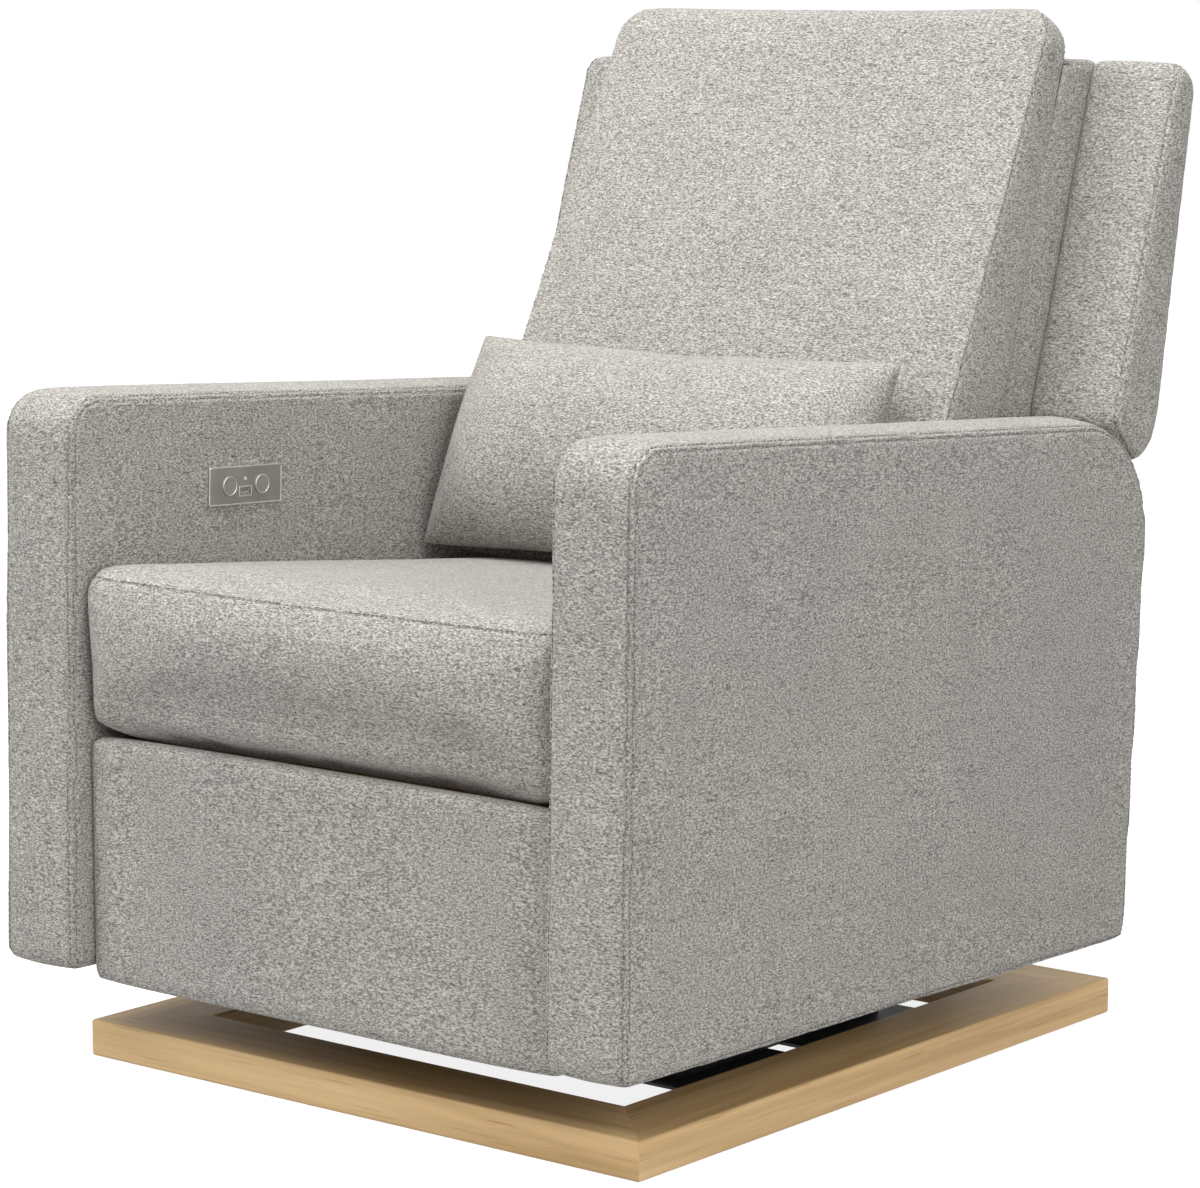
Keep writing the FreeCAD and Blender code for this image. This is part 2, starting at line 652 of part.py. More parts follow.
def arm_corners():
    rear = "depth - arm_rear_inset"
    return side_view([
        ("0", "arm_foot_front"), (f"{rear} - arm_rear_lean", "arm_foot_rear"),
        (rear, "arm_top_rear"), ("arm_front_lean", "arm_top_front"),
    ])


def core_corners(grow):
    """The outline of the timber core, set in from the arm's outline."""
    inset = f"(core_inset - ({grow}))"
    rear = "depth - arm_rear_inset"
    return side_view([
        (inset, f"arm_foot_front + {inset}"),
        (f"{rear} - arm_rear_lean - {inset}", f"arm_foot_front + {inset}"),
        (f"{rear} - {inset}", f"arm_top_rear - 2 * {inset}"),
        (f"arm_front_lean + {inset}", f"arm_top_front - {inset}"),
    ])


def control_opening(grow):
    """The rectangle behind the control plate, as the arm pieces see it."""
    half_long = f"(control_length / 2 - housing_inset + ({grow}))"
    half_tall = f"(control_width / 2 - housing_inset + ({grow}))"
    y, z = "control_from_front", "control_height"
    return side_view([
        (f"{y} - {half_long}", f"{z} - {half_tall}"), (f"{y} + {half_long}", f"{z} - {half_tall}"),
        (f"{y} + {half_long}", f"{z} + {half_tall}"), (f"{y} - {half_long}", f"{z} + {half_tall}"),
    ])


def arms():
    """Upholstered arm covers, each over a timber core that is flush with its inner face."""
    corners = arm_corners()
    core_room = "core_thickness + core_clearance"
    for side in SIDES.values():
        cover = side_prism("arm_cover", side, ARM_INNER, "arm_thickness", corners)
        round_edges(cover, [corners[3]], "arm_front_round")
        round_edges(cover, [corners[2]], "arm_rear_round")
        round_edges(cover, corners[:2], "arm_foot_round")
        sketch = new_sketch(cover, "x", mirrored_start(side, ARM_INNER, core_room))
        add_outline(sketch, core_corners("core_clearance"))
        add_pocket(cover, sketch, core_room, "x")
        core = side_prism("arm_core", side, ARM_INNER, "core_thickness", core_corners("0"))
        if side < 0:
            room = "housing_depth + pocket_clearance"
            opening = new_sketch(core, "x", f"-{ARM_INNER} - ({room})")
            add_outline(opening, control_opening("pocket_clearance"))
            add_pocket(core, opening, room, "x")


def local_rectangle(length, height, across="0", up="0"):
    half_long, half_tall = f"({length}) / 2", f"({height}) / 2"
    return [(f"{across} - {half_long}", f"{up} - {half_tall}"),
            (f"{across} + {half_long}", f"{up} - {half_tall}"),
            (f"{across} + {half_long}", f"{up} + {half_tall}"),
            (f"{across} - {half_long}", f"{up} + {half_tall}")]


def place_control(thing):
    """Control pieces are drawn about the plate's centre on the arm's inner face, then tilted."""
    place(thing, f"-{ARM_INNER}", along("control_from_front"), "control_height", "control_tilt")


def controls():
    """Plate, housing, two buttons and a charging socket in the inner face of one arm."""
    plate = prism("control_plate", "x", "0", "control_thickness",
                  local_rectangle("control_length", "control_width"),
                  [(f"{k} * button_spacing / 2", "0", "button_radius + button_clearance") for k in (-1, 1)])
    slot = new_sketch(plate, "x", "0")
    add_outline(slot, local_rectangle("socket_width + 2 * socket_gap", "socket_height + 2 * socket_gap",
                                      "0", "-socket_drop"))
    add_pocket(plate, slot, "control_thickness", "x")
    place_control(plate)

    length, height = "(control_length - 2 * housing_inset)", "(control_width - 2 * housing_inset)"
    housing = prism("control_housing", "x", "-housing_depth", "housing_depth",
                    local_rectangle(length, height))
    room = new_sketch(housing, "x", "-housing_depth + housing_wall")
    wall = "2 * housing_wall"
    add_outline(room, local_rectangle(f"{length} - {wall}", f"{height} - {wall}"))
    add_pocket(housing, room, "housing_depth - housing_wall", "x")
    place_control(housing)

    charging_socket()
    for name, k in (("recline", -1), ("upright", 1)):
        push_button(f"button_{name}", f"{k} * button_spacing / 2")


def charging_socket():
    """A rectangular metal shell with a tongue inside; its rear end stands on the housing floor."""
    start = "-housing_depth + housing_wall"
    length = "housing_depth - housing_wall + control_thickness"
    socket = prism("charging_socket", "x", start, length,
                   local_rectangle("socket_width", "socket_height", "0", "-socket_drop"))
    mouth = new_sketch(socket, "x", "control_thickness - socket_depth")
    add_outline(mouth, local_rectangle("socket_width - 2 * socket_wall", "socket_height - 2 * socket_wall",
                                       "0", "-socket_drop"))
    add_pocket(socket, mouth, "socket_depth", "x")
    add_prism(socket, "x", "control_thickness - socket_depth", "socket_depth - 2 * socket_wall",
              local_rectangle("socket_width - 4 * socket_wall", "socket_tongue", "0",
                              "-socket_drop + socket_height / 4 - socket_wall / 2"))
    place_control(socket)


def push_button(label, across):
    """A round cap with a flange behind the plate and a stem."""
    body = new_body(label)
    behind = "-button_flange - socket_gap"
    stages = (
        ("-button_travel - button_stem", "button_travel + button_stem + control_thickness + button_proud",
         "button_radius"),
        (behind, "button_flange", "button_flange_radius"),
    )
    for start, length, radius in stages:
        sketch = new_sketch(body, "x", start)
        add_circle(sketch, across, "0", radius)
        add_pad(body, sketch, length, "x")
    place_control(body)


# ---------------------------------------------------------------- rear panel and power parts

def rear_panel():
    """The upholstered board that closes the chair low down between the arms."""
    half = f"({ARM_INNER} - arm_fit)"
    start = "depth - rear_panel_inset"
    corners = side_view([
        (start, "rear_panel_bottom"), (f"{start} + rear_panel_thickness", "rear_panel_bottom"),
        (f"{start} + rear_panel_thickness", "rear_panel_top"), (start, "rear_panel_top"),
    ])
    prism("rear_lower_panel", "x", f"-{half}", f"2 * {half}", corners)


TRACK_LOW = f"({RAIL_TOP} + tube_size)"
TRACK_START = "(tube_front)"
MOTOR_END = "(depth - tube_rear_inset + tube_size)"


def drive():
    """A motor on the rear tube, a track forward to the front tube, and a block that slides on it."""
    motor_start = f"{MOTOR_END} - motor_length"
    motor = box("drive_motor", ("-motor_width / 2", along(motor_start), TRACK_LOW),
                ("motor_width", "motor_length", "motor_height"))
    node(motor, "drive_motor")
    track = box("drive_track", ("-track_width / 2", along(TRACK_START), TRACK_LOW),
                ("track_width", f"{motor_start} - {TRACK_START}", "track_height"))
    node(track, "drive_track")
    wide = "(track_width / 2 + drive_clearance)"
    outer = f"({wide} + slide_wrap)"
    top = f"({TRACK_LOW} + track_height + drive_clearance)"
    corners = [(f"-{outer}", TRACK_LOW), (f"-{wide}", TRACK_LOW), (f"-{wide}", top), (wide, top),
               (wide, TRACK_LOW), (outer, TRACK_LOW), (outer, f"{top} + slide_wrap"),
               (f"-{outer}", f"{top} + slide_wrap")]
    prism("drive_slide", "y", along(f"{motor_start} - slide_lead - slide_length"), "slide_length", corners)


def power_inlet():
    """A socket for the supply lead, on the inner face of the low rear panel."""
    half = "inlet_size / 2"
    z = "(rear_panel_bottom + inlet_size)"
    corners = [(f"inlet_side - {half}", f"{z} - {half}"), (f"inlet_side + {half}", f"{z} - {half}"),
               (f"inlet_side + {half}", f"{z} + {half}"), (f"inlet_side - {half}", f"{z} + {half}")]
    start = along("depth - rear_panel_inset - inlet_depth")
    inlet = prism("power_inlet", "y", start, "inlet_depth", corners)
    mouth = new_sketch(inlet, "y", start)
    add_circle(mouth, "inlet_side", z, "inlet_radius")
    add_pocket(inlet, mouth, "inlet_hole_depth", "y")


# ---------------------------------------------------------------- reclining back

def back_hinge():
    spots = [(side, *RECLINE_AXIS) for side in SIDES.values()]
    outer = f"{PLATE_OUTER} + plate_gap + steel"
    headed_pins("recline_bolts", spots, (PLATE_INNER, f"{outer} + plate_gap"), "recline_pin_radius",
                (f"{PLATE_INNER} - pin_head", PLATE_INNER), "pin_head_radius")


BRACKET_INNER = f"({PLATE_OUTER} + plate_gap)"
CUSHION_REAR_SLOPE = ("((cushion_foot_rear_inset - cushion_top_rear_inset)"
                      " / (height - cushion_top_rear_drop - cushion_foot_rear))")
CUSHION_LEAN = ("atan((cushion_foot_front_inset - cushion_top_front_inset)"
                " / (height - cushion_top_drop - cushion_foot_front))")
OUTER_SLOPE = "(wing_back_inset / (height - wing_rear_drop - wing_back))"


def post_front(z):
    """The front of the timber posts at a height, just behind the cushion."""
    cushion = f"depth - cushion_foot_rear_inset + (({z}) - cushion_foot_rear) * {CUSHION_REAR_SLOPE}"
    return f"{cushion} + post_gap"


def outer_inside(z):
    """The inside of the outer back panel at a height above the arms."""
    return f"depth - wing_back_inset - outer_thickness + (({z}) - wing_back) * {OUTER_SLOPE}"


def outer_inside_low(z):
    """The inside of the outer back panel at a height between the arms."""
    slope = "((outer_foot_inset - wing_back_inset) / (wing_back - outer_foot))"
    return f"depth - outer_foot_inset - outer_thickness + (({z}) - outer_foot) * {slope}"


def post_slice(low, high):
    return side_view([
        (post_front(low), low), (f"{post_front(low)} + post_depth", low),
        (f"{post_front(high)} + post_depth", high), (post_front(high), high),
    ])


def back_brackets():
    """Steel plates from the back hinge up the outside of the timber posts."""
    y = "depth - recline_inset"
    foot = "recline_height - bracket_nose"
    corners = side_view([
        (f"{y} - bracket_round", foot), (f"{y} + bracket_round", foot),
        (f"{post_front('bracket_waist')} + post_depth", "bracket_waist"),
        (f"{post_front('bracket_top')} + post_depth", "bracket_top"),
        (post_front("bracket_top"), "bracket_top"), (post_front("bracket_waist"), "bracket_waist"),
    ])
    hole = [(*RECLINE_AXIS, "recline_pin_radius + running_clearance")]
    for side in SIDES.values():
        side_prism("back_bracket", side, BRACKET_INNER, "steel", corners, hole)


def back_timber():
    """Two posts and two cross rails."""
    top = "height - post_top_drop"
    half = f"({BRACKET_INNER} - post_width)"
    post = post_slice("post_foot", top)
    pair("back_posts", lambda side: side_prism("back_post", side, half, "post_width", post))
    rails = []
    for name, low, high, inside in (
        ("lower", "post_foot", "post_foot + back_rail_height", outer_inside_low),
        ("upper", f"{top} - back_rail_height", top, outer_inside),
    ):
        corners = side_view([
            (post_front(low), low), (f"{inside(low)} - outer_fit", low),
            (f"{inside(high)} - outer_fit", high), (post_front(high), high),
        ])
        rails.append(prism(f"back_rail_{name}", "x", f"-{half}", f"2 * {half}", corners))
    group("back_cross_rails", rails)


def back_wings():
    """Upholstered sides of the outer back that stand over the rear of the arms."""
    rear = "depth"
    corners = side_view([
        (f"{rear} - wing_nose_inset", "wing_nose"), (f"{rear} - wing_heel_inset", "wing_heel"),
        (f"{rear} - wing_tail_inset", "wing_tail"), (f"{rear} - wing_back_inset", "wing_back"),
        (rear, "height - wing_rear_drop"), (f"{rear} - wing_top_inset", "height - wing_top_drop"),
        (f"{rear} - wing_front_inset", "height - wing_front_drop"),
    ])
    inner = f"({ARM_INNER} - wing_inner_gap)"
    for side in SIDES.values():
        side_prism("back_wing", side, inner, "arm_thickness - wing_side_inset + wing_inner_gap", corners)


def outer_back():
    """The padded panel behind the posts, between the wings."""
    half = f"({ARM_INNER} - wing_inner_gap)"
    corners = side_view([
        ("depth - outer_foot_inset - outer_thickness", "outer_foot"),
        ("depth - outer_foot_inset", "outer_foot"),
        ("depth - wing_back_inset", "wing_back"),
        ("depth", "height - wing_rear_drop"),
        ("depth - wing_top_inset", "height - wing_top_drop"),
        ("depth - outer_return_inset", "height - wing_top_drop"),
        ("depth - outer_return_inset", "height - wing_top_drop - outer_thickness"),
        ("depth - wing_front_inset", "height - wing_top_drop - outer_thickness"),
        ("depth - outer_thickness", "height - wing_rear_drop"),
        ("depth - wing_back_inset - outer_thickness", "wing_back"),
    ])
    prism("outer_back_panel", "x", f"-{half}", f"2 * {half}", corners)


def back_cushion():
    half = f"({ARM_INNER} - cushion_side_gap)"
    corners = side_view([
        ("depth - cushion_foot_front_inset", "cushion_foot_front"),
        ("depth - cushion_foot_rear_inset", "cushion_foot_rear"),
        ("depth - cushion_top_rear_inset", "height - cushion_top_rear_drop"),
        ("depth - cushion_crown_inset", "height"),
        ("depth - cushion_top_front_inset", "height - cushion_top_drop"),
    ])
    prism("back_cushion", "x", f"-{half}", f"2 * {half}", corners)


# ---------------------------------------------------------------- footrest

LINK_A = ("link_a_from_front", "link_a_height")
LINK_C = ("(link_a_from_front + crank_back)", "(link_a_height - crank_drop)")
KNEE = ("(link_a_from_front + link_a_length * cos(link_a_angle))",
        "(link_a_height + link_a_length * sin(link_a_angle))")
HEEL = (f"({KNEE[0]} + crank_back)", f"({KNEE[1]} - crank_drop)")
TOE = ("(link_a_from_front + toe_back)", "(link_a_height - toe_drop)")
PANEL_UPPER = (f"({KNEE[0]} + link_b_length * cos(link_b_angle))",
               f"({KNEE[1]} + link_b_length * sin(link_b_angle))")
PANEL_LOWER = (f"({PANEL_UPPER[0]} - panel_pin_forward)", f"({PANEL_UPPER[1]} - panel_pin_drop)")


def strip(label, side, inner, points, holes):
    """A flat link through two or three pivots: round eyes joined by straight bars."""
    start = mirrored_start(side, inner, "steel")
    word = "right" if side > 0 else "left"
    solids = []
    for index, (y, z) in enumerate(points):
        eye = cylinder_x(f"{label}_{word}_eye_{index}", start, along(y), z, "foot_link_width / 2", "steel")
        solids.append(eye)
    for index in range(len(points) - 1):
        solids.append(bar_between(f"{label}_{word}_bar_{index}", start, points[index], points[index + 1]))
    blank = fused(f"{label}_{word}_blank", solids)
    bores = []
    for index, ((y, z), radius) in enumerate(zip(points, holes)):
        bores.append(cylinder_x(f"{label}_{word}_hole_{index}", start, along(y), z, radius, "steel"))
    link = DOC.addObject("Part::Cut", f"{label}_{word}")
    link.Base = blank
    link.Tool = fused(f"{label}_{word}_holes", bores)
    return link


def bar_between(name, start, one, two):
    """A straight bar from one pivot to another, in the plane of the link."""
    (y1, z1), (y2, z2) = one, two
    length = f"sqrt(pow({y2} - {y1}; 2) + pow({z2} - {z1}; 2))"
    angle = f"atan2({z2} - {z1}; {y2} - {y1})"
    bar = DOC.addObject("Part::Box", name)
    bar.setExpression("Length", bind("steel"))
    bar.setExpression("Width", bind(length))
    bar.setExpression("Height", bind("foot_link_width"))
    place(bar, start, f"{along(y1)} + foot_link_width / 2 * sin({angle})",
          f"{z1} - foot_link_width / 2 * cos({angle})", angle)
    return bar


def footrest_links():
    """Lazy tongs on each side: links A and C swing on the side plates, B and D carry the panel."""
    tight = "foot_pin_radius + fixed_clearance"
    free = "foot_pin_radius + running_clearance"
    loose = "foot_pin_radius + slot_clearance"
    kinds = {
        "a": (LAYER_A, [LINK_A, KNEE, TOE], [free, tight, tight]),
        "b": (LAYER_B, [PANEL_UPPER, KNEE, HEEL], [free, free, tight]),
        "c": (LAYER_A, [LINK_C, HEEL], [free, free]),
        "d": (LAYER_B, [TOE, PANEL_LOWER], [free, loose]),
    }
    for letter, (layer, points, holes) in kinds.items():
        name = f"footrest_link_{letter}"
        pair(f"footrest_links_{letter}", lambda side: strip(name, side, layer, points, holes))


def footrest_pins():
    """Shouldered rivets at the pivots; each group rides with the part that it is fixed in."""
    plate_shank = (LAYER_A, PLATE_OUTER)
    plate_head = (PLATE_OUTER, f"{PLATE_OUTER} + foot_pin_head / 2")
    rivets("footrest_pins_plate", (LINK_A, LINK_C), plate_shank, plate_head)
    link_shank = (LAYER_B, f"{LAYER_A} + steel")
    link_head = (f"{LAYER_B} - foot_pin_head / 2", LAYER_B)
    rivets("footrest_pins_link_a", (KNEE, TOE), link_shank, link_head)
    rivets("footrest_pins_link_b", (HEEL,), link_shank, link_head)
    panel_shank = (LAYER_PANEL, f"{LAYER_B} + steel")
    panel_head = (f"{LAYER_PANEL} - foot_pin_head", LAYER_PANEL)
    rivets("footrest_pins_panel", (PANEL_UPPER, PANEL_LOWER), panel_shank, panel_head)


def rivets(label, pivots, shank, head):
    places = [(side, along(y), z) for side in SIDES.values() for y, z in pivots]
    headed_pins(label, places, shank, "foot_pin_radius", head, "foot_pin_head_radius")


def footrest_panel():
    """A padded board with a steel bracket near each end of its back."""
    half = f"({ARM_INNER} - panel_gap)"
    pad_back = "panel_front + panel_pad"
    pad = side_view([("panel_front", "panel_bottom"), (pad_back, "panel_bottom"),
                     (pad_back, "panel_top"), ("panel_front", "panel_top")])
    prism("footrest_pad", "x", f"-{half}", f"2 * {half}", pad)
    board_half = f"({half} - panel_board_inset)"
    low, high = "panel_bottom + panel_board_inset", "panel_top - panel_board_inset"
    board_back = f"{pad_back} + panel_board"
    board = side_view([(pad_back, low), (board_back, low), (board_back, high), (pad_back, high)])
    prism("footrest_board", "x", f"-{board_half}", f"2 * {board_half}", board)
    upper, lower = PANEL_UPPER, PANEL_LOWER
    bracket = side_view([
        (board_back, f"{lower[1]} - bracket_margin"), (f"{lower[0]} + bracket_margin", f"{lower[1]} - bracket_margin"),
        (f"{upper[0]} + bracket_margin", f"{upper[1]} - bracket_margin"),
        (f"{upper[0]} + bracket_margin", f"{upper[1]} + bracket_margin"),
        (board_back, f"{upper[1]} + bracket_margin"),
    ])
    holes = [(along(y), z, "foot_pin_radius + fixed_clearance") for y, z in (upper, lower)]
    pair("footrest_brackets",
         lambda side: side_prism("footrest_bracket", side, LAYER_PANEL, "steel", bracket, holes))


# ---------------------------------------------------------------- loose pillow

def lumbar_pillow():
    """A loose pillow on the seat against the back cushion, drawn upright and then leaned back."""
    foot = "(depth - cushion_foot_front_inset)"
    rest = f"({seat_top(foot)} + pillow_gap)"
    forward = f"((cushion_foot_front - {rest}) * tan({CUSHION_LEAN}) + pillow_gap / cos({CUSHION_LEAN}))"
    pillow = prism("lumbar_pillow", "x", "-pillow_width / 2 - pillow_side", "pillow_width", [
        ("-pillow_thickness / 2", "0"), ("0", "0"), ("0", "pillow_height"),
        ("-pillow_thickness / 2", "pillow_height"), ("-pillow_thickness", "pillow_height / 2"),
    ])
    place(pillow, "0", along(f"{foot} - {forward}"), rest, f"-{CUSHION_LEAN}")


def check_and_write():
    DOC.recompute()
    for thing in DOC.Objects:
        if "Invalid" in thing.State or "Error" in thing.State:
            raise RuntimeError(f"{thing.Label} failed: {thing.State}")
    os.makedirs("parts", exist_ok=True)
    for thing in NODES:
        if thing.Shape.isNull() or not thing.Shape.isValid() or not thing.Shape.Solids:
            raise RuntimeError(f"{thing.Label} has no valid solid")
    for thing in NODES:
        thing.Shape.exportStep(f"parts/{thing.Label}.step")
    print(len(NODES), "nodes written")


def main():
    fill_sheet()
    ring_rails()
    cross_plates()
    base_screws()
    hangers()
    glide_links()
    glide_pins()
    glide_rails()
    chassis_tubes()
    side_plates()
    side_boards()
    seat_rails()
    seat_springs()
    seat_cushion()
    arms()
    controls()
    rear_panel()
    drive()
    power_inlet()
    back_hinge()
    back_brackets()
    back_timber()
    back_wings()
    outer_back()
    back_cushion()
    footrest_links()
    footrest_pins()
    footrest_panel()
    lumbar_pillow()
    check_and_write()


main()
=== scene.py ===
import json
import math

import bmesh
import bpy
import numpy as np
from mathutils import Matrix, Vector, noise
from mathutils.bvhtree import BVHTree
from mathutils.kdtree import KDTree


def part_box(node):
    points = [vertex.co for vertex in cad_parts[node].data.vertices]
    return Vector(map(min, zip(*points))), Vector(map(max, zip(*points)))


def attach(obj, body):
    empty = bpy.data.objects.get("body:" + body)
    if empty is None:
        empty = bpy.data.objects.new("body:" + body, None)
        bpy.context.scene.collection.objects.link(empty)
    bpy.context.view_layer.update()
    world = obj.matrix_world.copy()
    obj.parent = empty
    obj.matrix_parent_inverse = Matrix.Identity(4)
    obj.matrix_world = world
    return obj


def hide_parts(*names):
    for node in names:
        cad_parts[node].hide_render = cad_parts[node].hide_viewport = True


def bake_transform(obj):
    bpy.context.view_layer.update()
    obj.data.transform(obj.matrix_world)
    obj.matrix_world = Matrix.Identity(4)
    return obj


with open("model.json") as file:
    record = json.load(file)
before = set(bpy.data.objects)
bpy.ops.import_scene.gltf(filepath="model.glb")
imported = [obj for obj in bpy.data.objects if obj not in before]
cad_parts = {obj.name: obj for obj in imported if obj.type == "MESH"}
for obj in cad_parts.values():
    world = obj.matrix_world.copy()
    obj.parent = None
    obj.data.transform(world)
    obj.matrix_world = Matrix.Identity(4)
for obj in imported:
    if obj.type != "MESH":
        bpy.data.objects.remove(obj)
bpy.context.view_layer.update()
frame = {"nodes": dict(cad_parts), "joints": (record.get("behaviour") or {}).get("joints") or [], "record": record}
NODES = frame["nodes"]
JOINTS = {joint["name"]: joint for joint in frame["joints"]}

# ---------------------------------------------------------------- sizes, in metres

EDGE = 0.006            # rounding of an upholstered edge
VOXEL = 0.006           # mesh size of the soft pieces
STITCH_INSET = 0.0048   # topstitching, from the seam at the edge
STITCH_LONG = 0.0038
STITCH_GAP = 0.0014
THREAD = 0.00042
GROOVE_DEEP = 0.0017
GROOVE_WIDE = 0.0015
SIDE_SLACK = 0.0012     # how far the seat and back may bulge past their CAD sides

CAMERA_PLACE = (2.42824, -3.01414, 1.01395)
CAMERA_TARGET = (0.06935, -0.103, 0.458)
CAMERA_LENS = 120.57    # millimetres, for a sensor 36 mm wide
FLOOR_HALF = 14.0
LAMP_TARGET = (0.0, 0.0, 0.5)
LAMPS = (               # name, place, width, watts
    ("key", (-2.6, -3.2, 3.6), 2.6, 115.0),
    ("fill", (4.2, -1.6, 2.0), 3.0, 80.0),
    ("top", (0.1, -0.9, 4.2), 2.6, 135.0),
)


# ---------------------------------------------------------------- mesh helpers

def add_object(name, data):
    obj = bpy.data.objects.new(name, data)
    bpy.context.scene.collection.objects.link(obj)
    return obj


def mesh_object(name, points, faces):
    mesh = bpy.data.meshes.new(name)
    mesh.from_pydata([tuple(map(float, p)) for p in points], [], faces)
    mesh.update()
    return add_object(name, mesh)


def points_of(obj):
    flat = np.zeros(len(obj.data.vertices) * 3)
    obj.data.vertices.foreach_get("co", flat)
    return flat.reshape(-1, 3)


def set_points(obj, points):
    obj.data.vertices.foreach_set("co", np.asarray(points, float).ravel())
    obj.data.update()


def normals_of(obj):
    flat = np.zeros(len(obj.data.vertices) * 3)
    obj.data.vertex_normals.foreach_get("vector", flat)
    return flat.reshape(-1, 3)


def face_outwards(obj):
    shape = bmesh.new()
    shape.from_mesh(obj.data)
    bmesh.ops.recalc_face_normals(shape, faces=shape.faces[:])
    shape.to_mesh(obj.data)
    shape.free()


def two_layers(name, points, lines, row):
    """A thin sheet: the first layer's lines of points, then the second's, closed along the rim."""
    count = lines * row
    faces = []
    for i in range(lines - 1):
        for j in range(row - 1):
            a = i * row + j
            b = a + count
            faces.append((a, a + row, a + row + 1, a + 1))
            faces.append((b, b + 1, b + row + 1, b + row))
    rim = [i * row for i in range(lines)]
    rim += [(lines - 1) * row + j for j in range(1, row)]
    rim += [i * row + row - 1 for i in range(lines - 2, -1, -1)]
    rim += list(range(row - 2, 0, -1))
    for a, b in zip(rim, rim[1:] + rim[:1]):
        faces.append((a, a + count, b + count, b))
    obj = mesh_object(name, points, faces)
    face_outwards(obj)
    shade_smooth(obj)
    return obj


def apply_modifiers(obj):
    graph = bpy.context.evaluated_depsgraph_get()
    mesh = bpy.data.meshes.new_from_object(obj.evaluated_get(graph))
    obj.modifiers.clear()
    obj.data = mesh


def remesh(obj, voxel, smoothing):
    """Even quads all over, with softened edges."""
    change = obj.modifiers.new("Remesh", "REMESH")
    change.mode = "VOXEL"
    change.voxel_size = voxel
    apply_modifiers(obj)
    if smoothing:
        change = obj.modifiers.new("Smooth", "SMOOTH")
        change.factor = 0.5
        change.iterations = smoothing
        apply_modifiers(obj)


def subdivide(obj):
    change = obj.modifiers.new("Subdivide", "SUBSURF")
    change.levels = 1
    change.render_levels = 1
    apply_modifiers(obj)


def shade_smooth(obj):
    obj.data.polygons.foreach_set("use_smooth", [True] * len(obj.data.polygons))
    obj.data.update()


def noise_at(points, size, seed):
    """Smooth noise from -1 to 1 whose features are about that size."""
    shift = Vector((seed * 7.3, seed * 3.1, seed * 5.7))
    return np.array([noise.noise(Vector(p) / size + shift) for p in points])


# ---------------------------------------------------------------- outlines and lines

def side_outline(node, side):
    """The outline of a CAD node's flat face that looks along X, as (y, z) points in order."""
    shape = bmesh.new()
    shape.from_mesh(NODES[node].data)
    bmesh.ops.remove_doubles(shape, verts=shape.verts[:], dist=1e-5)
    shape.normal_update()
    low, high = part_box(node)
    limit = high.x if side > 0 else low.x
    faces = {f for f in shape.faces
             if f.normal.x * side > 0.999 and abs(f.calc_center_median().x - limit) < 1e-4}
    links = {}
    for edge in shape.edges:
        if sum(f in faces for f in edge.link_faces) == 1:
            one, two = edge.verts
            links.setdefault(one, []).append(two)
            links.setdefault(two, []).append(one)
    start = next(iter(links))
    line, last, here = [start], None, start
    while True:
        onward = [v for v in links[here] if v is not last]
        last, here = here, onward[0]
        if here is start:
            break
        line.append(here)
    outline = np.array([(v.co.y, v.co.z) for v in line])
    shape.free()
    y, z = outline.T
    if np.sum(y * np.roll(z, -1) - np.roll(y, -1) * z) < 0:
        outline = outline[::-1]
    return outline


def even(points, step, closed=True):
    """The same line with points at an even distance."""
    points = np.asarray(points, float)
    if closed:
        points = np.vstack([points, points[:1]])
    along = np.concatenate([[0], np.cumsum(np.linalg.norm(np.diff(points, axis=0), axis=1))])
    count = max(2, int(round(along[-1] / step)))
    wanted = np.linspace(0, along[-1], count + 1)
    if closed:
        wanted = wanted[:-1]
    return np.stack([np.interp(wanted, along, points[:, k]) for k in range(points.shape[1])], axis=1)


def soften(outline, radius, step=0.002):
    """A closed outline whose corners are rounded to about the radius."""
    line = even(outline, step)
    for _ in range(int((radius / step) ** 2 * 0.5)):
        line = 0.5 * line + 0.25 * (np.roll(line, 1, axis=0) + np.roll(line, -1, axis=0))
    return line


def inset(outline, distance):
    """A closed anticlockwise outline moved inwards."""
    ahead = np.roll(outline, -1, axis=0) - np.roll(outline, 1, axis=0)
    ahead /= np.linalg.norm(ahead, axis=1)[:, None] + 1e-12
    return outline + distance * np.stack([-ahead[:, 1], ahead[:, 0]], axis=1)


def at_x(outline, x):
    return np.column_stack([np.full(len(outline), x), outline])


def rounded_prism(name, outline, low, high, edge=EDGE):
    """The outline drawn along X from low to high, with rounded edges at both ends."""
    outline = even(outline, 0.003)
    count, steps = len(outline), 5
    rings = []
    for k in range(steps):
        angle = math.pi / 2 * k / (steps - 1)
        rings.append((low + edge - edge * math.cos(angle), edge - edge * math.sin(angle)))
    for k in range(steps):
        angle = math.pi / 2 * k / (steps - 1)
        rings.append((high - edge + edge * math.sin(angle), edge - edge * math.cos(angle)))
    points = np.vstack([at_x(inset(outline, deep), x) for x, deep in rings])
    faces = []
    for ring in range(len(rings) - 1):
        for k in range(count):
            a, b = ring * count + k, ring * count + (k + 1) % count
            faces.append((a, a + count, b + count, b))
    faces.append(tuple(range(count)))
    faces.append(tuple(reversed(range((len(rings) - 1) * count, len(rings) * count))))
    return mesh_object(name, points, faces)


def distance_to(points, lines):
    """How far each point is from the nearest of the lines."""
    dense = np.vstack([even(line, 0.0015, closed) for line, closed in lines])
    tree = KDTree(len(dense))
    for k, p in enumerate(dense):
        tree.insert(p, k)
    tree.balance()
    return np.array([tree.find(p)[2] for p in points])


# ---------------------------------------------------------------- padding

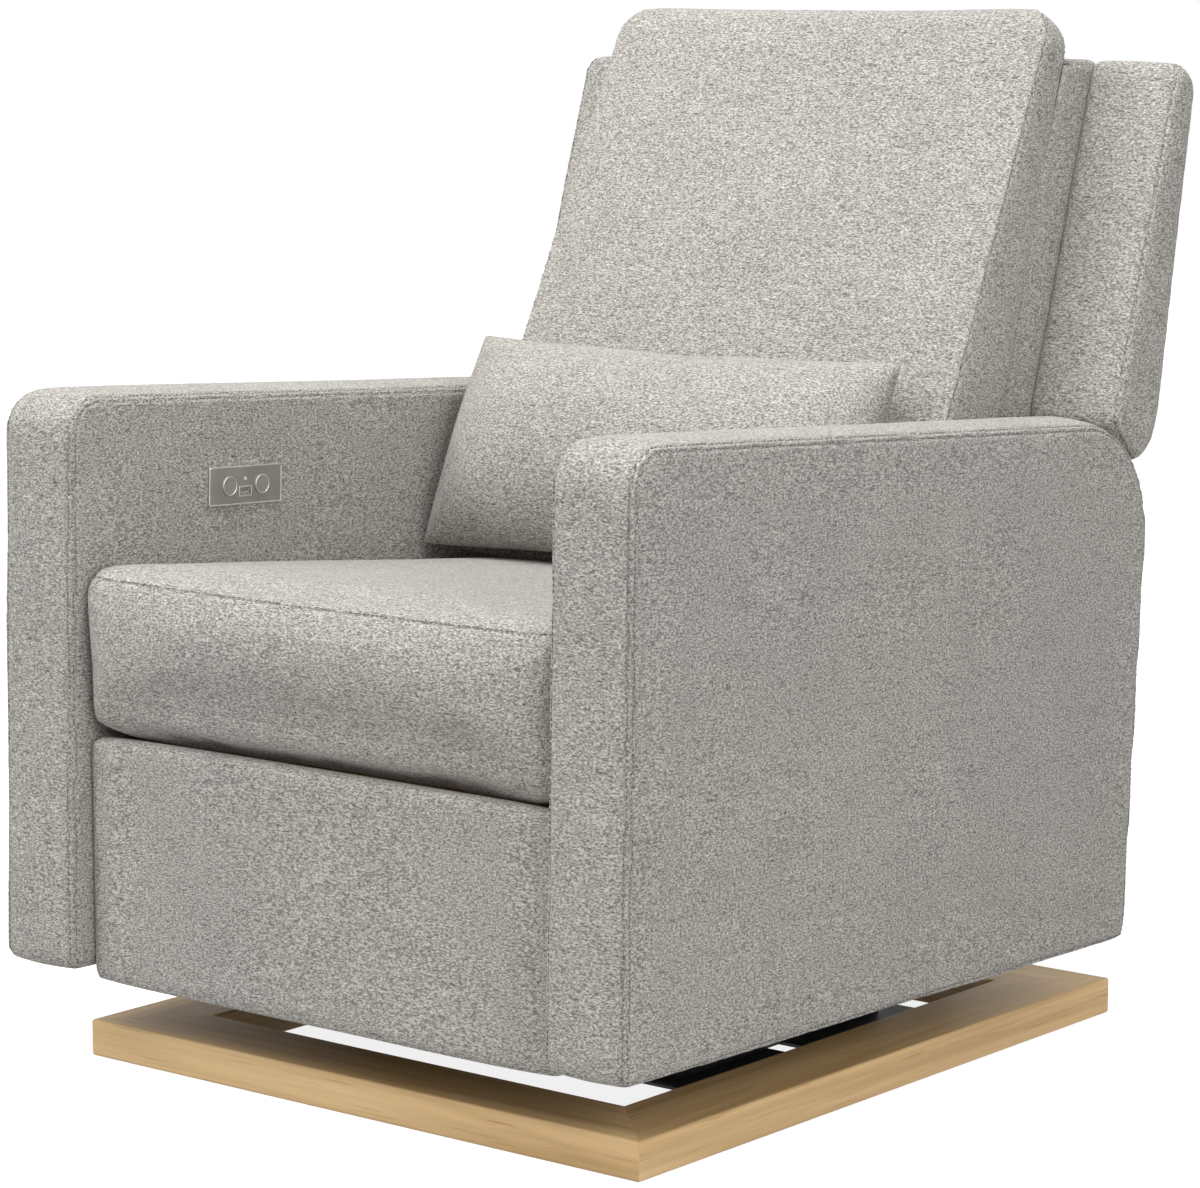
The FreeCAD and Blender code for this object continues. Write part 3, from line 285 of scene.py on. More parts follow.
def puff(obj, lines, pressure, cap, frames=20):
    """Blow the cover up with cloth simulation, held at its seams, and limit how far it moves."""
    start = points_of(obj)
    far = distance_to(start, lines)
    hold = obj.vertex_groups.new(name="seams")
    hold.add([int(k) for k in np.nonzero(far < VOXEL)[0]], 1.0, "REPLACE")
    cloth = obj.modifiers.new("Cloth", "CLOTH")
    cloth.settings.use_pressure = True
    cloth.settings.uniform_pressure_force = pressure
    cloth.settings.effector_weights.gravity = 0
    cloth.settings.quality = 4
    cloth.settings.tension_stiffness = 25
    cloth.settings.compression_stiffness = 25
    cloth.settings.shear_stiffness = 8
    cloth.settings.bending_stiffness = 2
    cloth.settings.vertex_group_mass = hold.name
    cloth.collision_settings.use_collision = False
    cloth.point_cache.frame_start = 1
    cloth.point_cache.frame_end = frames
    for number in range(1, frames + 1):
        bpy.context.scene.frame_set(number)
    apply_modifiers(obj)
    bpy.context.scene.frame_set(1)
    moved = points_of(obj) - start
    length = np.linalg.norm(moved, axis=1)[:, None] + 1e-12
    set_points(obj, start + moved / length * cap * np.tanh(length / cap))
    obj.vertex_groups.clear()


def crown(obj, lines, height, reach):
    """Lift the cover between its seams."""
    start = points_of(obj)
    far = distance_to(start, lines)
    set_points(obj, start + normals_of(obj) * (height * (1 - np.exp(-far / reach)))[:, None])


def refine(obj, lines, band, rounds):
    """Finer mesh in a band along the lines, so that a groove can show."""
    shape = bmesh.new()
    shape.from_mesh(obj.data)
    for _ in range(rounds):
        shape.verts.ensure_lookup_table()
        far = distance_to([v.co for v in shape.verts], lines)
        shape.verts.index_update()
        edges = [e for e in shape.edges if min(far[e.verts[0].index], far[e.verts[1].index]) < band]
        bmesh.ops.subdivide_edges(shape, edges=edges, cuts=1, use_grid_fill=True)
        band *= 0.6
    bmesh.ops.triangulate(shape, faces=[f for f in shape.faces if len(f.verts) > 4])
    shape.to_mesh(obj.data)
    shape.free()
    obj.data.update()


def sew(obj, lines, deep=GROOVE_DEEP, wide=GROOVE_WIDE, seed=1):
    """Press the sewn lines into the cover, with slight puckers beside them."""
    lines = [(onto(obj, line)[0], closed) for line, closed in lines]
    refine(obj, lines, 0.009, 2)
    start = points_of(obj)
    far = distance_to(start, lines)
    lift = -deep * np.exp(-((far / wide) ** 2))
    close = far < 0.03
    pucker = np.zeros(len(start))
    pucker[close] = noise_at(start[close], 0.011, seed) * 0.0005 * np.exp(-far[close] / 0.009)
    set_points(obj, start + normals_of(obj) * (lift + pucker)[:, None])


def undulate(obj, size, height, seed):
    """A long soft unevenness of the filling."""
    start = points_of(obj)
    set_points(obj, start + normals_of(obj) * (noise_at(start, size, seed) * height)[:, None])


def onto(obj, line):
    """The line laid on the piece's surface, with the surface's normals."""
    tree = BVHTree.FromPolygons([tuple(p) for p in points_of(obj)],
                                [tuple(f.vertices) for f in obj.data.polygons])
    found = [tree.find_nearest(Vector(p)) for p in line]
    return np.array([f[0] for f in found]), np.array([f[1] for f in found])


def thread_row(obj, line, closed):
    """One small raised stitch after another along the line."""
    spots = even(line, STITCH_LONG + STITCH_GAP, closed)
    spots, up = onto(obj, spots)
    if closed:
        ahead = np.roll(spots, -1, axis=0) - np.roll(spots, 1, axis=0)
    else:
        ahead = np.gradient(spots, axis=0)
    ahead /= np.linalg.norm(ahead, axis=1)[:, None] + 1e-12
    across = np.cross(up, ahead)
    sides, rings = 6, ((-0.5, 0.25), (-0.32, 0.9), (0.0, 1.0), (0.32, 0.9), (0.5, 0.25))
    points, faces = [], []
    for spot, n, t, s in zip(spots, up, ahead, across):
        base = len(points)
        for along, thick in rings:
            sunk = THREAD * (0.9 - 1.6 * (2 * along) ** 2)
            middle = spot + t * along * STITCH_LONG + n * sunk
            for k in range(sides):
                angle = 2 * math.pi * k / sides
                points.append(middle + (s * math.cos(angle) + n * math.sin(angle)) * THREAD * thick)
        for ring in range(len(rings) - 1):
            for k in range(sides):
                a, b = base + ring * sides + k, base + ring * sides + (k + 1) % sides
                faces.append((a, b, b + sides, a + sides))
        faces.append(tuple(base + k for k in reversed(range(sides))))
        faces.append(tuple(base + (len(rings) - 1) * sides + k for k in range(sides)))
    return points, faces


def stitch(obj, lines):
    """All the topstitching of a piece, as one object that rides with it."""
    points, faces = [], []
    for line, closed in lines:
        more, found = thread_row(obj, line, closed)
        faces += [tuple(k + len(points) for k in face) for face in found]
        points += more
    threads = mesh_object(f"{obj.name}_stitching", points, faces)
    shade_smooth(threads)
    threads.data.materials.append(MATERIALS["thread"])
    threads.parent = obj
    return threads


def finish_soft(obj, body, stands_for):
    shade_smooth(obj)
    obj.data.materials.clear()
    obj.data.materials.append(MATERIALS["upholstery"])
    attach(obj, body)
    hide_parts(*stands_for)
    return obj


# ---------------------------------------------------------------- materials

class Nodes:
    """A material's node tree, built a node at a time."""

    def __init__(self, name):
        self.material = bpy.data.materials.new(name)
        self.material.use_nodes = True
        self.tree = self.material.node_tree
        self.tree.nodes.clear()
        self.shader = self.add("ShaderNodeBsdfPrincipled")
        output = self.add("ShaderNodeOutputMaterial")
        self.join(self.shader.outputs["BSDF"], output.inputs["Surface"])
        self.place = self.add("ShaderNodeTexCoord").outputs["Object"]

    def add(self, kind, **settings):
        made = self.tree.nodes.new(kind)
        for key, worth in settings.items():
            setattr(made, key, worth)
        return made

    def join(self, start, end):
        self.tree.links.new(start, end)

    def feed(self, socket, worth):
        if isinstance(worth, bpy.types.NodeSocket):
            self.join(worth, socket)
        else:
            socket.default_value = worth

    def math(self, operation, *worths):
        made = self.add("ShaderNodeMath", operation=operation)
        for socket, worth in zip(made.inputs, worths):
            self.feed(socket, worth)
        return made.outputs[0]

    def stretched(self, scale, place=None):
        made = self.add("ShaderNodeVectorMath", operation="MULTIPLY")
        self.feed(made.inputs[0], place or self.place)
        made.inputs[1].default_value = scale
        return made.outputs[0]

    def noise(self, place, scale, detail=2.0, roughness=0.5, distortion=0.0):
        made = self.add("ShaderNodeTexNoise")
        self.feed(made.inputs["Vector"], place)
        made.inputs["Scale"].default_value = scale
        made.inputs["Detail"].default_value = detail
        made.inputs["Roughness"].default_value = roughness
        made.inputs["Distortion"].default_value = distortion
        return made.outputs["Fac"]

    def ramp(self, worth, stops):
        made = self.add("ShaderNodeValToRGB")
        self.feed(made.inputs["Fac"], worth)
        band = made.color_ramp
        while len(band.elements) < len(stops):
            band.elements.new(0.5)
        for element, (position, colour) in zip(band.elements, stops):
            element.position = position
            element.color = colour if len(colour) == 4 else (*colour, 1.0)
        return made.outputs["Color"]

    def mix(self, share, one, two, blend="MIX"):
        made = self.add("ShaderNodeMix", data_type="RGBA", blend_type=blend)
        self.feed(made.inputs["Factor"], share)
        self.feed(made.inputs[6], one)
        self.feed(made.inputs[7], two)
        return made.outputs[2]

    def mix_vector(self, share, one, two):
        made = self.add("ShaderNodeMix", data_type="VECTOR")
        self.feed(made.inputs["Factor"], share)
        self.feed(made.inputs[4], one)
        self.feed(made.inputs[5], two)
        return made.outputs[1]

    def bump(self, height, distance, strength=1.0, after=None):
        made = self.add("ShaderNodeBump")
        made.inputs["Strength"].default_value = strength
        made.inputs["Distance"].default_value = distance
        self.feed(made.inputs["Height"], height)
        if after is not None:
            self.join(after, made.inputs["Normal"])
        return made.outputs["Normal"]

    def finish(self, colour, rough, normal, metallic=0.0, **fixed):
        self.feed(self.shader.inputs["Base Color"], colour)
        self.feed(self.shader.inputs["Roughness"], rough)
        self.join(normal, self.shader.inputs["Normal"])
        self.shader.inputs["Metallic"].default_value = metallic
        for key, worth in fixed.items():
            self.shader.inputs[key.replace("_", " ")].default_value = worth
        return self.material


def grey(level):
    return (level, level, level)


def fabric_material():
    """Heathered woven upholstery: light and dark yarns in short horizontal dashes."""
    n = Nodes("upholstery_fabric")
    facing = n.add("ShaderNodeSeparateXYZ")
    n.join(n.add("ShaderNodeTexCoord").outputs["Normal"], facing.inputs[0])
    sideways = n.math("GREATER_THAN", n.math("ABSOLUTE", facing.outputs[0]), 0.7)
    yarns = n.mix_vector(sideways, n.stretched((1.0, 2.3, 2.3)), n.stretched((2.3, 1.0, 2.3)))
    dashes = n.mix_vector(sideways, n.stretched((0.3, 2.0, 2.0)), n.stretched((2.0, 0.3, 2.0)))
    grain = n.noise(yarns, 330.0, 3.0, 0.65)
    fleck = n.noise(dashes, 300.0, 2.0, 0.6)
    streak = n.noise(dashes, 70.0, 4.0, 0.6)
    cloud = n.noise(n.place, 13.0, 3.0, 0.55)
    wide = n.noise(n.place, 2.6, 1.0)
    body = n.ramp(grain, [(0.34, (0.130, 0.124, 0.114)), (0.43, (0.235, 0.225, 0.208)),
                          (0.50, (0.350, 0.336, 0.312)), (0.57, (0.490, 0.471, 0.440)),
                          (0.66, (0.640, 0.617, 0.579))])
    dark = n.ramp(fleck, [(0.30, grey(0.50)), (0.43, grey(1.0)), (0.62, grey(1.0)), (0.72, grey(1.15))])
    body = n.mix(1.0, body, dark, "MULTIPLY")
    body = n.mix(1.0, body, n.ramp(streak, [(0.30, grey(0.95)), (0.70, grey(1.05))]), "MULTIPLY")
    body = n.mix(1.0, body, n.ramp(cloud, [(0.30, grey(0.965)), (0.70, grey(1.035))]), "MULTIPLY")
    body = n.mix(1.0, body, n.ramp(wide, [(0.30, (0.97, 0.97, 0.98)), (0.70, (1.03, 1.02, 1.0))]),
                 "MULTIPLY")
    part = n.add("ShaderNodeSeparateXYZ")
    n.join(n.place, part.inputs[0])
    wobble = n.math("MULTIPLY", n.noise(n.place, 90.0, 1.0), 3.0)
    across = n.add("ShaderNodeMix", data_type="FLOAT")
    n.feed(across.inputs[0], sideways)
    n.feed(across.inputs[2], part.outputs[0])
    n.feed(across.inputs[3], part.outputs[1])
    up = n.add("ShaderNodeMix", data_type="FLOAT")
    n.feed(up.inputs[0], sideways)
    n.feed(up.inputs[2], n.math("ADD", part.outputs[1], part.outputs[2]))
    n.feed(up.inputs[3], part.outputs[2])
    pitch = 2 * math.pi / 0.0016
    warp = n.math("SINE", n.math("ADD", n.math("MULTIPLY", across.outputs[0], pitch), wobble))
    weft = n.math("SINE", n.math("ADD", n.math("MULTIPLY", up.outputs[0], pitch * 1.15), wobble))
    weave = n.math("MULTIPLY", warp, weft)
    normal = n.bump(weave, 0.00016, 0.55)
    normal = n.bump(grain, 0.0006, 0.6, normal)
    rough = n.math("MULTIPLY_ADD", grain, 0.15, 0.80)
    return n.finish(body, rough, normal, Sheen_Weight=0.18, Sheen_Roughness=0.5,
                    Specular_IOR_Level=0.25)


def thread_material():
    """Twisted sewing thread, a little darker than the cloth."""
    n = Nodes("sewing_thread")
    twist = n.noise(n.place, 2200.0, 1.0)
    colour = n.ramp(twist, [(0.3, (0.10, 0.093, 0.083)), (0.7, (0.17, 0.16, 0.145))])
    return n.finish(colour, 0.75, n.bump(twist, 0.0001, 0.6), Specular_IOR_Level=0.3)


def wood_material(name, grain, light=1.0):
    """Pale lacquered wood with its grain along one axis."""
    n = Nodes(name)
    long_scale = tuple(0.55 if k == grain else 11.0 for k in range(3))
    pore_scale = tuple(9.0 if k == grain else 420.0 for k in range(3))
    line_scale = tuple(1.1 if k == grain else 46.0 for k in range(3))
    figure = n.noise(n.stretched(long_scale), 1.7, 5.0, 0.55, 1.3)
    lines = n.noise(n.stretched(line_scale), 1.6, 5.0, 0.62, 0.5)
    pores = n.noise(n.stretched(pore_scale), 1.0, 2.0, 0.6)
    tone = n.noise(n.place, 1.9, 1.0)
    colour = n.ramp(figure, [(0.28, (0.52 * light, 0.335 * light, 0.150 * light)),
                             (0.45, (0.66 * light, 0.450 * light, 0.222 * light)),
                             (0.62, (0.74 * light, 0.525 * light, 0.275 * light)),
                             (0.80, (0.79 * light, 0.585 * light, 0.325 * light))])
    colour = n.mix(1.0, colour, n.ramp(lines, [(0.30, (0.80, 0.76, 0.70)), (0.55, grey(1.0)),
                                              (0.75, (1.05, 1.04, 1.03))]), "MULTIPLY")
    colour = n.mix(1.0, colour, n.ramp(pores, [(0.30, (0.76, 0.70, 0.62)), (0.40, grey(1.0))]), "MULTIPLY")
    colour = n.mix(1.0, colour, n.ramp(tone, [(0.3, (0.96, 0.95, 0.93)), (0.7, (1.03, 1.03, 1.03))]),
                   "MULTIPLY")
    rough = n.math("MULTIPLY_ADD", lines, 0.2, 0.36)
    return n.finish(colour, rough, n.bump(pores, 0.00025, 0.35), Specular_IOR_Level=0.4)


def metal_material(name, dark, light, rough, brushed=None, grain=0.0001, metallic=1.0):
    """Bare, plated or coated metal, with handling marks and either a brushed or an orange-peel surface."""
    n = Nodes(name)
    scale = brushed or (1.0, 1.0, 1.0)
    fine = n.noise(n.stretched(scale), 700.0 if brushed is None else 60.0, 3.0, 0.6)
    patches = n.noise(n.place, 26.0, 4.0, 0.6)
    share = n.math("MULTIPLY_ADD", patches, 0.7, n.math("MULTIPLY", fine, 0.3))
    colour = n.ramp(share, [(0.32, dark), (0.68, light)])
    spread = n.math("MULTIPLY_ADD", patches, 0.22, rough - 0.11)
    return n.finish(colour, spread, n.bump(fine, grain, 0.5), metallic)


def plastic_material(name, dark, light, rough, sheen=0.5):
    """Moulded plastic with a spark-eroded texture."""
    n = Nodes(name)
    fine = n.noise(n.place, 900.0, 2.0, 0.6)
    patches = n.noise(n.place, 22.0, 3.0)
    colour = n.ramp(patches, [(0.3, dark), (0.7, light)])
    spread = n.math("MULTIPLY_ADD", patches, 0.15, rough - 0.07)
    return n.finish(colour, spread, n.bump(fine, 0.0002, 0.4), Specular_IOR_Level=sheen)


def make_materials():
    return {
        "upholstery": fabric_material(),
        "thread": thread_material(),
        "wood_x": wood_material("ring_wood_across", 0, 1.16),
        "wood_y": wood_material("ring_wood_along", 1, 1.16),
        "frame_timber": wood_material("rough_pine", 2, 0.8),
        "black_steel": metal_material("black_powder_coat", grey(0.012), grey(0.026), 0.5, metallic=0.0),
        "zinc_steel": metal_material("zinc_plate", (0.42, 0.42, 0.39), (0.62, 0.61, 0.57), 0.38),
        "fastener_steel": metal_material("zinc_fastener", (0.40, 0.39, 0.35), (0.62, 0.60, 0.54), 0.34),
        "spring_steel": metal_material("spring_wire", grey(0.16), grey(0.30), 0.42),
        "nylon": plastic_material("natural_nylon", (0.70, 0.69, 0.63), (0.80, 0.79, 0.74), 0.5),
        "black_plastic": plastic_material("black_moulding", grey(0.018), grey(0.034), 0.55),
        "control_metal": metal_material("satin_plate", (0.40, 0.39, 0.37), (0.52, 0.51, 0.49), 0.36,
                                        (1.0, 0.6, 22.0), 0.00004, 0.85),
        "button_metal": metal_material("button_face", (0.50, 0.49, 0.47), (0.60, 0.59, 0.57), 0.32,
                                       (1.0, 14.0, 1.0), 0.00003, 0.85),
        "bright_rim": metal_material("bright_edge", (0.80, 0.79, 0.77), (0.90, 0.89, 0.87), 0.24),
        "socket_metal": metal_material("socket_shell", grey(0.50), grey(0.66), 0.25),
    }


MATERIALS = make_materials()


def paint_cad_nodes():
    """Every carried-over CAD node gets the finish of its record slot."""
    slots = {row["node"]: row["material_slot"] for row in frame["record"]["subparts"]}
    for name, node in NODES.items():
        slot_name = slots[name]
        if slot_name == "base_wood":
            finish = MATERIALS["wood_y" if name.endswith(("left", "right")) else "wood_x"]
        else:
            finish = MATERIALS[slot_name]
        if not node.data.materials:
            node.data.materials.append(finish)
        for k in range(len(node.data.materials)):
            node.data.materials[k] = finish


# ---------------------------------------------------------------- arms

def edge_lines(outline, low, high, inward=STITCH_INSET):
    """Double stitching that straddles both side edges: one row on the side, one on the strip."""
    side = inset(outline, inward)
    return [(at_x(side, low), True), (at_x(outline, low + inward), True),
            (at_x(outline, high - inward), True), (at_x(side, high), True)]


def edge_seams(outline, low, high):
    return [(at_x(outline, low), True), (at_x(outline, high), True)]


def arm(side):
    word = "left" if side < 0 else "right"
    cover = f"arm_cover_{word}"
    low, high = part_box(cover)
    outline = soften(side_outline(cover, side), 0.004)
    obj = rounded_prism(f"arm_{word}", outline, low.x, high.x)
    remesh(obj, VOXEL, 2)
    seams = edge_seams(outline, low.x, high.x)
    held = list(seams)
    if side < 0:
        held += control_hold()
    start = points_of(obj)
    far = distance_to(start, held)
    out = normals_of(obj)
    inner = out[:, 0] * side < -0.5
    top = out[:, 2] > 0.4
    front = out[:, 1] < -0.6
    rise = np.full(len(start), 0.0022)
    rise[top] = 0.0075
    rise[front] = 0.0035
    rise[inner] = 0.0012
    for _ in range(2):
        rise = smooth_values(obj, rise, 12)
    set_points(obj, start + out * (rise * (1 - np.exp(-far / 0.028)))[:, None])
    undulate(obj, 0.13, 0.0007, 3 if side < 0 else 4)
    lines = edge_lines(outline, low.x, high.x)
    sew(obj, lines, seed=5)
    stitch(finish_soft(obj, "chassis", [cover, f"arm_core_{word}"]), lines)
    return obj


def smooth_values(obj, values, times):
    """Spread values over the mesh so that they change gently."""
    edges = np.zeros(len(obj.data.edges) * 2, int)
    obj.data.edges.foreach_get("vertices", edges)
    one, two = edges.reshape(-1, 2).T
    count = np.bincount(one, minlength=len(values)) + np.bincount(two, minlength=len(values))
    for _ in range(times):
        total = np.bincount(one, values[two], len(values)) + np.bincount(two, values[one], len(values))
        values = 0.4 * values + 0.6 * total / np.maximum(count, 1)
    return values


def control_hold():
    """The outline of the control plate, where the cover is pulled flat."""
    low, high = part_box("control_plate")
    corners = [(low.y, low.z), (high.y, low.z), (high.y, high.z), (low.y, high.z)]
    return [(at_x(np.array(corners), low.x), True)]


# ---------------------------------------------------------------- seat and back

def clamp(obj, low=None, high=None, axis=0):
    points = points_of(obj)
    points[:, axis] = np.clip(points[:, axis], low, high)
    set_points(obj, points)


def seat():
    low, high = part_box("seat_cushion")
    half = high.x
    outline = soften(side_outline("seat_cushion", 1), 0.020)
    obj = rounded_prism("seat", outline, low.x, high.x, 0.010)
    y, z = outline.T
    front = outline[np.argmin(y + 0.35 * np.abs(z - np.max(z) + 0.008))]
    top_y = np.linspace(front[0], high.y, 120)
    upper = [(py, z[(np.abs(y - py) < 0.004)].max()) for py in top_y[2:-2]]
    lower = [(py, z[(np.abs(y - py) < 0.004)].min()) for py in top_y[2:-2]]
    bend = frame_bend(low.y, half)
    top_seam = u_line(np.array(upper), high.z - 0.009, low.y + 0.006, half)
    foot_seam = u_line(np.array(lower) + (0, 0.022), lower[0][1] + 0.030, low.y, half)
    remesh(obj, VOXEL, 3)
    puff(obj, [(top_seam, False)], 4.0, 0.012)
    set_points(obj, bend(points_of(obj)))
    clamp(obj, -half - SIDE_SLACK, half + SIDE_SLACK)
    subdivide(obj)
    undulate(obj, 0.16, 0.0012, 8)
    lines = [(bend(top_seam), False), (bend(foot_seam), False)]
    sew(obj, lines[:1], 0.0016, 0.0018, seed=2)
    sew(obj, lines[1:], 0.0006, 0.0016, seed=2)
    stitch(finish_soft(obj, "chassis", ["seat_cushion"]), lines[:1])
    return obj


def frame_bend(front, half):
    """The cushion's front is a shallow curve in plan: its ends lie back."""
    def bend(points):
        points = np.array(points, float)
        near = np.clip(1 - (points[:, 1] - front) / 0.12, 0, 1) ** 2
        points[:, 1] += 0.009 * near * (np.abs(points[:, 0]) / half) ** 3
        return points
    return bend


def u_line(side, z_front, front, half):
    """A seam that runs forward along one side, across the front and back along the other."""
    turn = 0.012
    left = [(-half, py, pz) for py, pz in side[::-1] if py > front + 2.5 * turn]
    right = [(half, p[1], p[2]) for p in reversed(left)]
    corner = [(-half, front + 1.5 * turn, z_front), (-half + 0.5 * turn, front + 0.4 * turn, z_front),
              (-half + 2 * turn, front, z_front)]
    return even(left + corner + [(-x, y, z) for x, y, z in reversed(corner)] + right, 0.003, False)


def back_rest():
    low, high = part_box("back_cushion")
    half = high.x
    outline = soften(side_outline("back_cushion", 1), 0.016)
    obj = rounded_prism("back_rest", outline, low.x, high.x, 0.008)
    lean = Vector(JOINTS["pillow_lift"]["axis"])
    up = np.array(lean)
    tip = max(points_of(obj) @ up)
    round_corner = 0.042

    def narrow(points):
        points = np.array(points, float)
        rise = np.clip((points @ up - (tip - round_corner)) / round_corner, 0, 1)
        width = (half - round_corner + round_corner * np.sqrt(1 - rise ** 2 * 0.97)) / half
        taper = 1 - 0.028 * np.clip((points @ up - (tip - 0.40)) / 0.40, 0, 1)
        points[:, 0] *= width * taper
        return points

    remesh(obj, VOXEL, 3)
    edge = edge_seams(outline, low.x, high.x)
    puff(obj, edge, 4.0, 0.014)
    set_points(obj, narrow(points_of(obj)))
    clamp(obj, -half - SIDE_SLACK, half + SIDE_SLACK)
    subdivide(obj)
    undulate(obj, 0.17, 0.0012, 9)
    lines = [(narrow(at_x(inset(outline, 0.003), x)), True) for x in (low.x, high.x)]
    sew(obj, lines, 0.0016, 0.0018, seed=6)
    stitch(finish_soft(obj, "back", ["back_cushion"]), lines)
    return obj


def wing(side):
    word = "left" if side < 0 else "right"
    node = f"back_wing_{word}"
    low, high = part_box(node)
    outer = high.x if side > 0 else low.x
    inner = side * post_lane()
    low.x, high.x = min(inner, outer), max(inner, outer)
    outline = soften(side_outline(node, side), 0.013)
    obj = rounded_prism(f"wing_{word}", outline, low.x, high.x)
    remesh(obj, VOXEL, 3)
    lines = [(at_x(outline, outer - side * STITCH_INSET), True)]
    crown(obj, [(at_x(outline, outer), True)], 0.003, 0.03)
    top, corner = high.z, 0.020

    def narrow(points):
        points = np.array(points, float)
        rise = np.clip((points[:, 2] - (top - corner)) / corner, 0, 1)
        over = (points[:, 0] - (outer - side * corner)) * side
        points[:, 0] -= side * np.clip(over, 0, None) * (1 - np.sqrt(1 - rise ** 2 * 0.97))
        return points

    set_points(obj, narrow(points_of(obj)))
    undulate(obj, 0.12, 0.0008, 11)
    lines = [(narrow(line), closed) for line, closed in lines]
    sew(obj, lines, seed=7)
    stitch(finish_soft(obj, "back", [node]), lines)
    return obj


def post_lane():
    """Just outside the posts and brackets of the back."""
    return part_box("back_bracket_right")[1].x + 0.0018


def outer_back():
    outline = soften(side_outline("outer_back_panel", 1), 0.008)
    half = post_lane() - 0.0002
    obj = rounded_prism("outer_back", outline, -half, half, 0.005)
    remesh(obj, 0.005, 2)
    undulate(obj, 0.2, 0.001, 12)
    return finish_soft(obj, "back", ["outer_back_panel"])


def footrest():
    low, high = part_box("footrest_pad")
    outline = soften(side_outline("footrest_pad", 1), 0.006)
    obj = rounded_prism("footrest_cover", outline, low.x, high.x, 0.005)
    remesh(obj, 0.005, 2)
    seams = edge_seams(outline, low.x, high.x)
    crown(obj, seams, 0.003, 0.04)
    clamp(obj, None, high.y, 1)
    undulate(obj, 0.15, 0.0006, 13)
    return finish_soft(obj, "footrest", ["footrest_pad"])


def rear_panel():
    low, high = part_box("rear_lower_panel")
    outline = soften(side_outline("rear_lower_panel", 1), 0.004)
    obj = rounded_prism("rear_panel", outline, low.x, high.x, 0.004)
    remesh(obj, 0.004, 2)
    undulate(obj, 0.2, 0.0008, 14)
    return finish_soft(obj, "chassis", ["rear_lower_panel"])


# ---------------------------------------------------------------- loose pillow

def pillow():
    """Two sheets of cloth sewn along their edges and filled."""
    node = NODES["lumbar_pillow"]
    cad = np.array([v.co for v in node.data.vertices])
    up = np.array(JOINTS["pillow_lift"]["axis"], float)
    out = np.array([0, -up[2], up[1]])
    tall = cad @ up
    deep = cad @ out
    low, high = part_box("lumbar_pillow")
    centre_x = (low.x + high.x) / 2
    wide, height, thick = high.x - low.x, tall.max() - tall.min(), deep.max() - deep.min()
    middle = np.array([centre_x, 0, 0]) + up * (tall.max() + tall.min()) / 2
    middle += out * deep.min()

    across, upward = 104, 46
    points, faces, index = [], [], {}
    for face in (1, -1):
        for i in range(across + 1):
            for j in range(upward + 1):
                u, v = 2 * i / across - 1, 2 * j / upward - 1
                rim = abs(u) == 1 or abs(v) == 1
                key = (0 if rim else face, i, j)
                if key not in index:
                    index[key] = len(points)
                    full = ((1 - u ** 4) * (1 - v ** 2)) ** 0.62
                    x = u * wide / 2 * (1 - 0.022 * (1 - v ** 2))
                    y = v * height / 2 * (1 - 0.055 * (1 - u ** 2))
                    points.append((x, y, 0 if rim else face * (0.001 + thick / 2 * full)))
    for face in (1, -1):
        for i in range(across):
            for j in range(upward):
                ring = []
                for a, b in ((i, j), (i + 1, j), (i + 1, j + 1), (i, j + 1)):
                    rim = a in (0, across) or b in (0, upward)
                    ring.append(index[(0 if rim else face, a, b)])
                faces.append(tuple(ring if face > 0 else reversed(ring)))
    obj = mesh_object("pillow", points, faces)
    rim = [points[k] for (face, i, j), k in sorted(index.items()) if face == 0]
    turn = sorted(rim, key=lambda p: math.atan2(p[1] / height, p[0] / wide))
    puff(obj, [(np.array(turn), True)], 4.0, 0.012)
    subdivide(obj)
    flat = points_of(obj)
    flat -= (flat.max(axis=0) + flat.min(axis=0)) / 2
    size = flat.max(axis=0) - flat.min(axis=0)
    flat *= np.array([wide, height, thick * 1.25]) / size
    flat[:, 2] += thick * 0.40
    behind = flat[:, 2] < 0.006
    flat[behind, 2] = 0.006 * np.exp(np.minimum(flat[behind, 2] - 0.006, 0) / 0.02)
    placed = middle + np.outer(flat[:, 0], (1, 0, 0)) + np.outer(flat[:, 1], up) + np.outer(flat[:, 2], out)
    set_points(obj, placed)
    undulate(obj, 0.09, 0.0016, 21)
    finish_soft(obj, "lumbar_pillow", ["lumbar_pillow"])
    return obj


# ---------------------------------------------------------------- flap behind the seat

def rear_flap():
    """Stretch cloth between the low rear panel and the foot of the outer back."""
    panel_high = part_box("rear_lower_panel")[1]
    back_low, back_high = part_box("outer_back_panel")
    start = Vector((0, panel_high.y - 0.006, panel_high.z - 0.012))
    foot_y = back_low.y + 0.012
    end = Vector((0, foot_y, back_low.z + 0.012))
    half = back_high.x - 0.006
    across, upward = 60, 22
    points = []
    for layer in (0.0, 0.0016):
        for i in range(across + 1):
            for j in range(upward + 1):
                t = j / upward
                x = half * (2 * i / across - 1)
                sag = 0.010 * math.sin(math.pi * t)
                ripple = 0.0015 * noise.noise(Vector((x / 0.05, t * 2, 3.0))) * math.sin(math.pi * t)
                y = start.y + (end.y - start.y) * t - sag + ripple - layer
                points.append((x, y, start.z + (end.z - start.z) * t))
    obj = two_layers("rear_flap", points, across + 1, upward + 1)
    obj.data.materials.append(MATERIALS["upholstery"])
    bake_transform(obj)
    return obj


# ---------------------------------------------------------------- lining beside the back posts

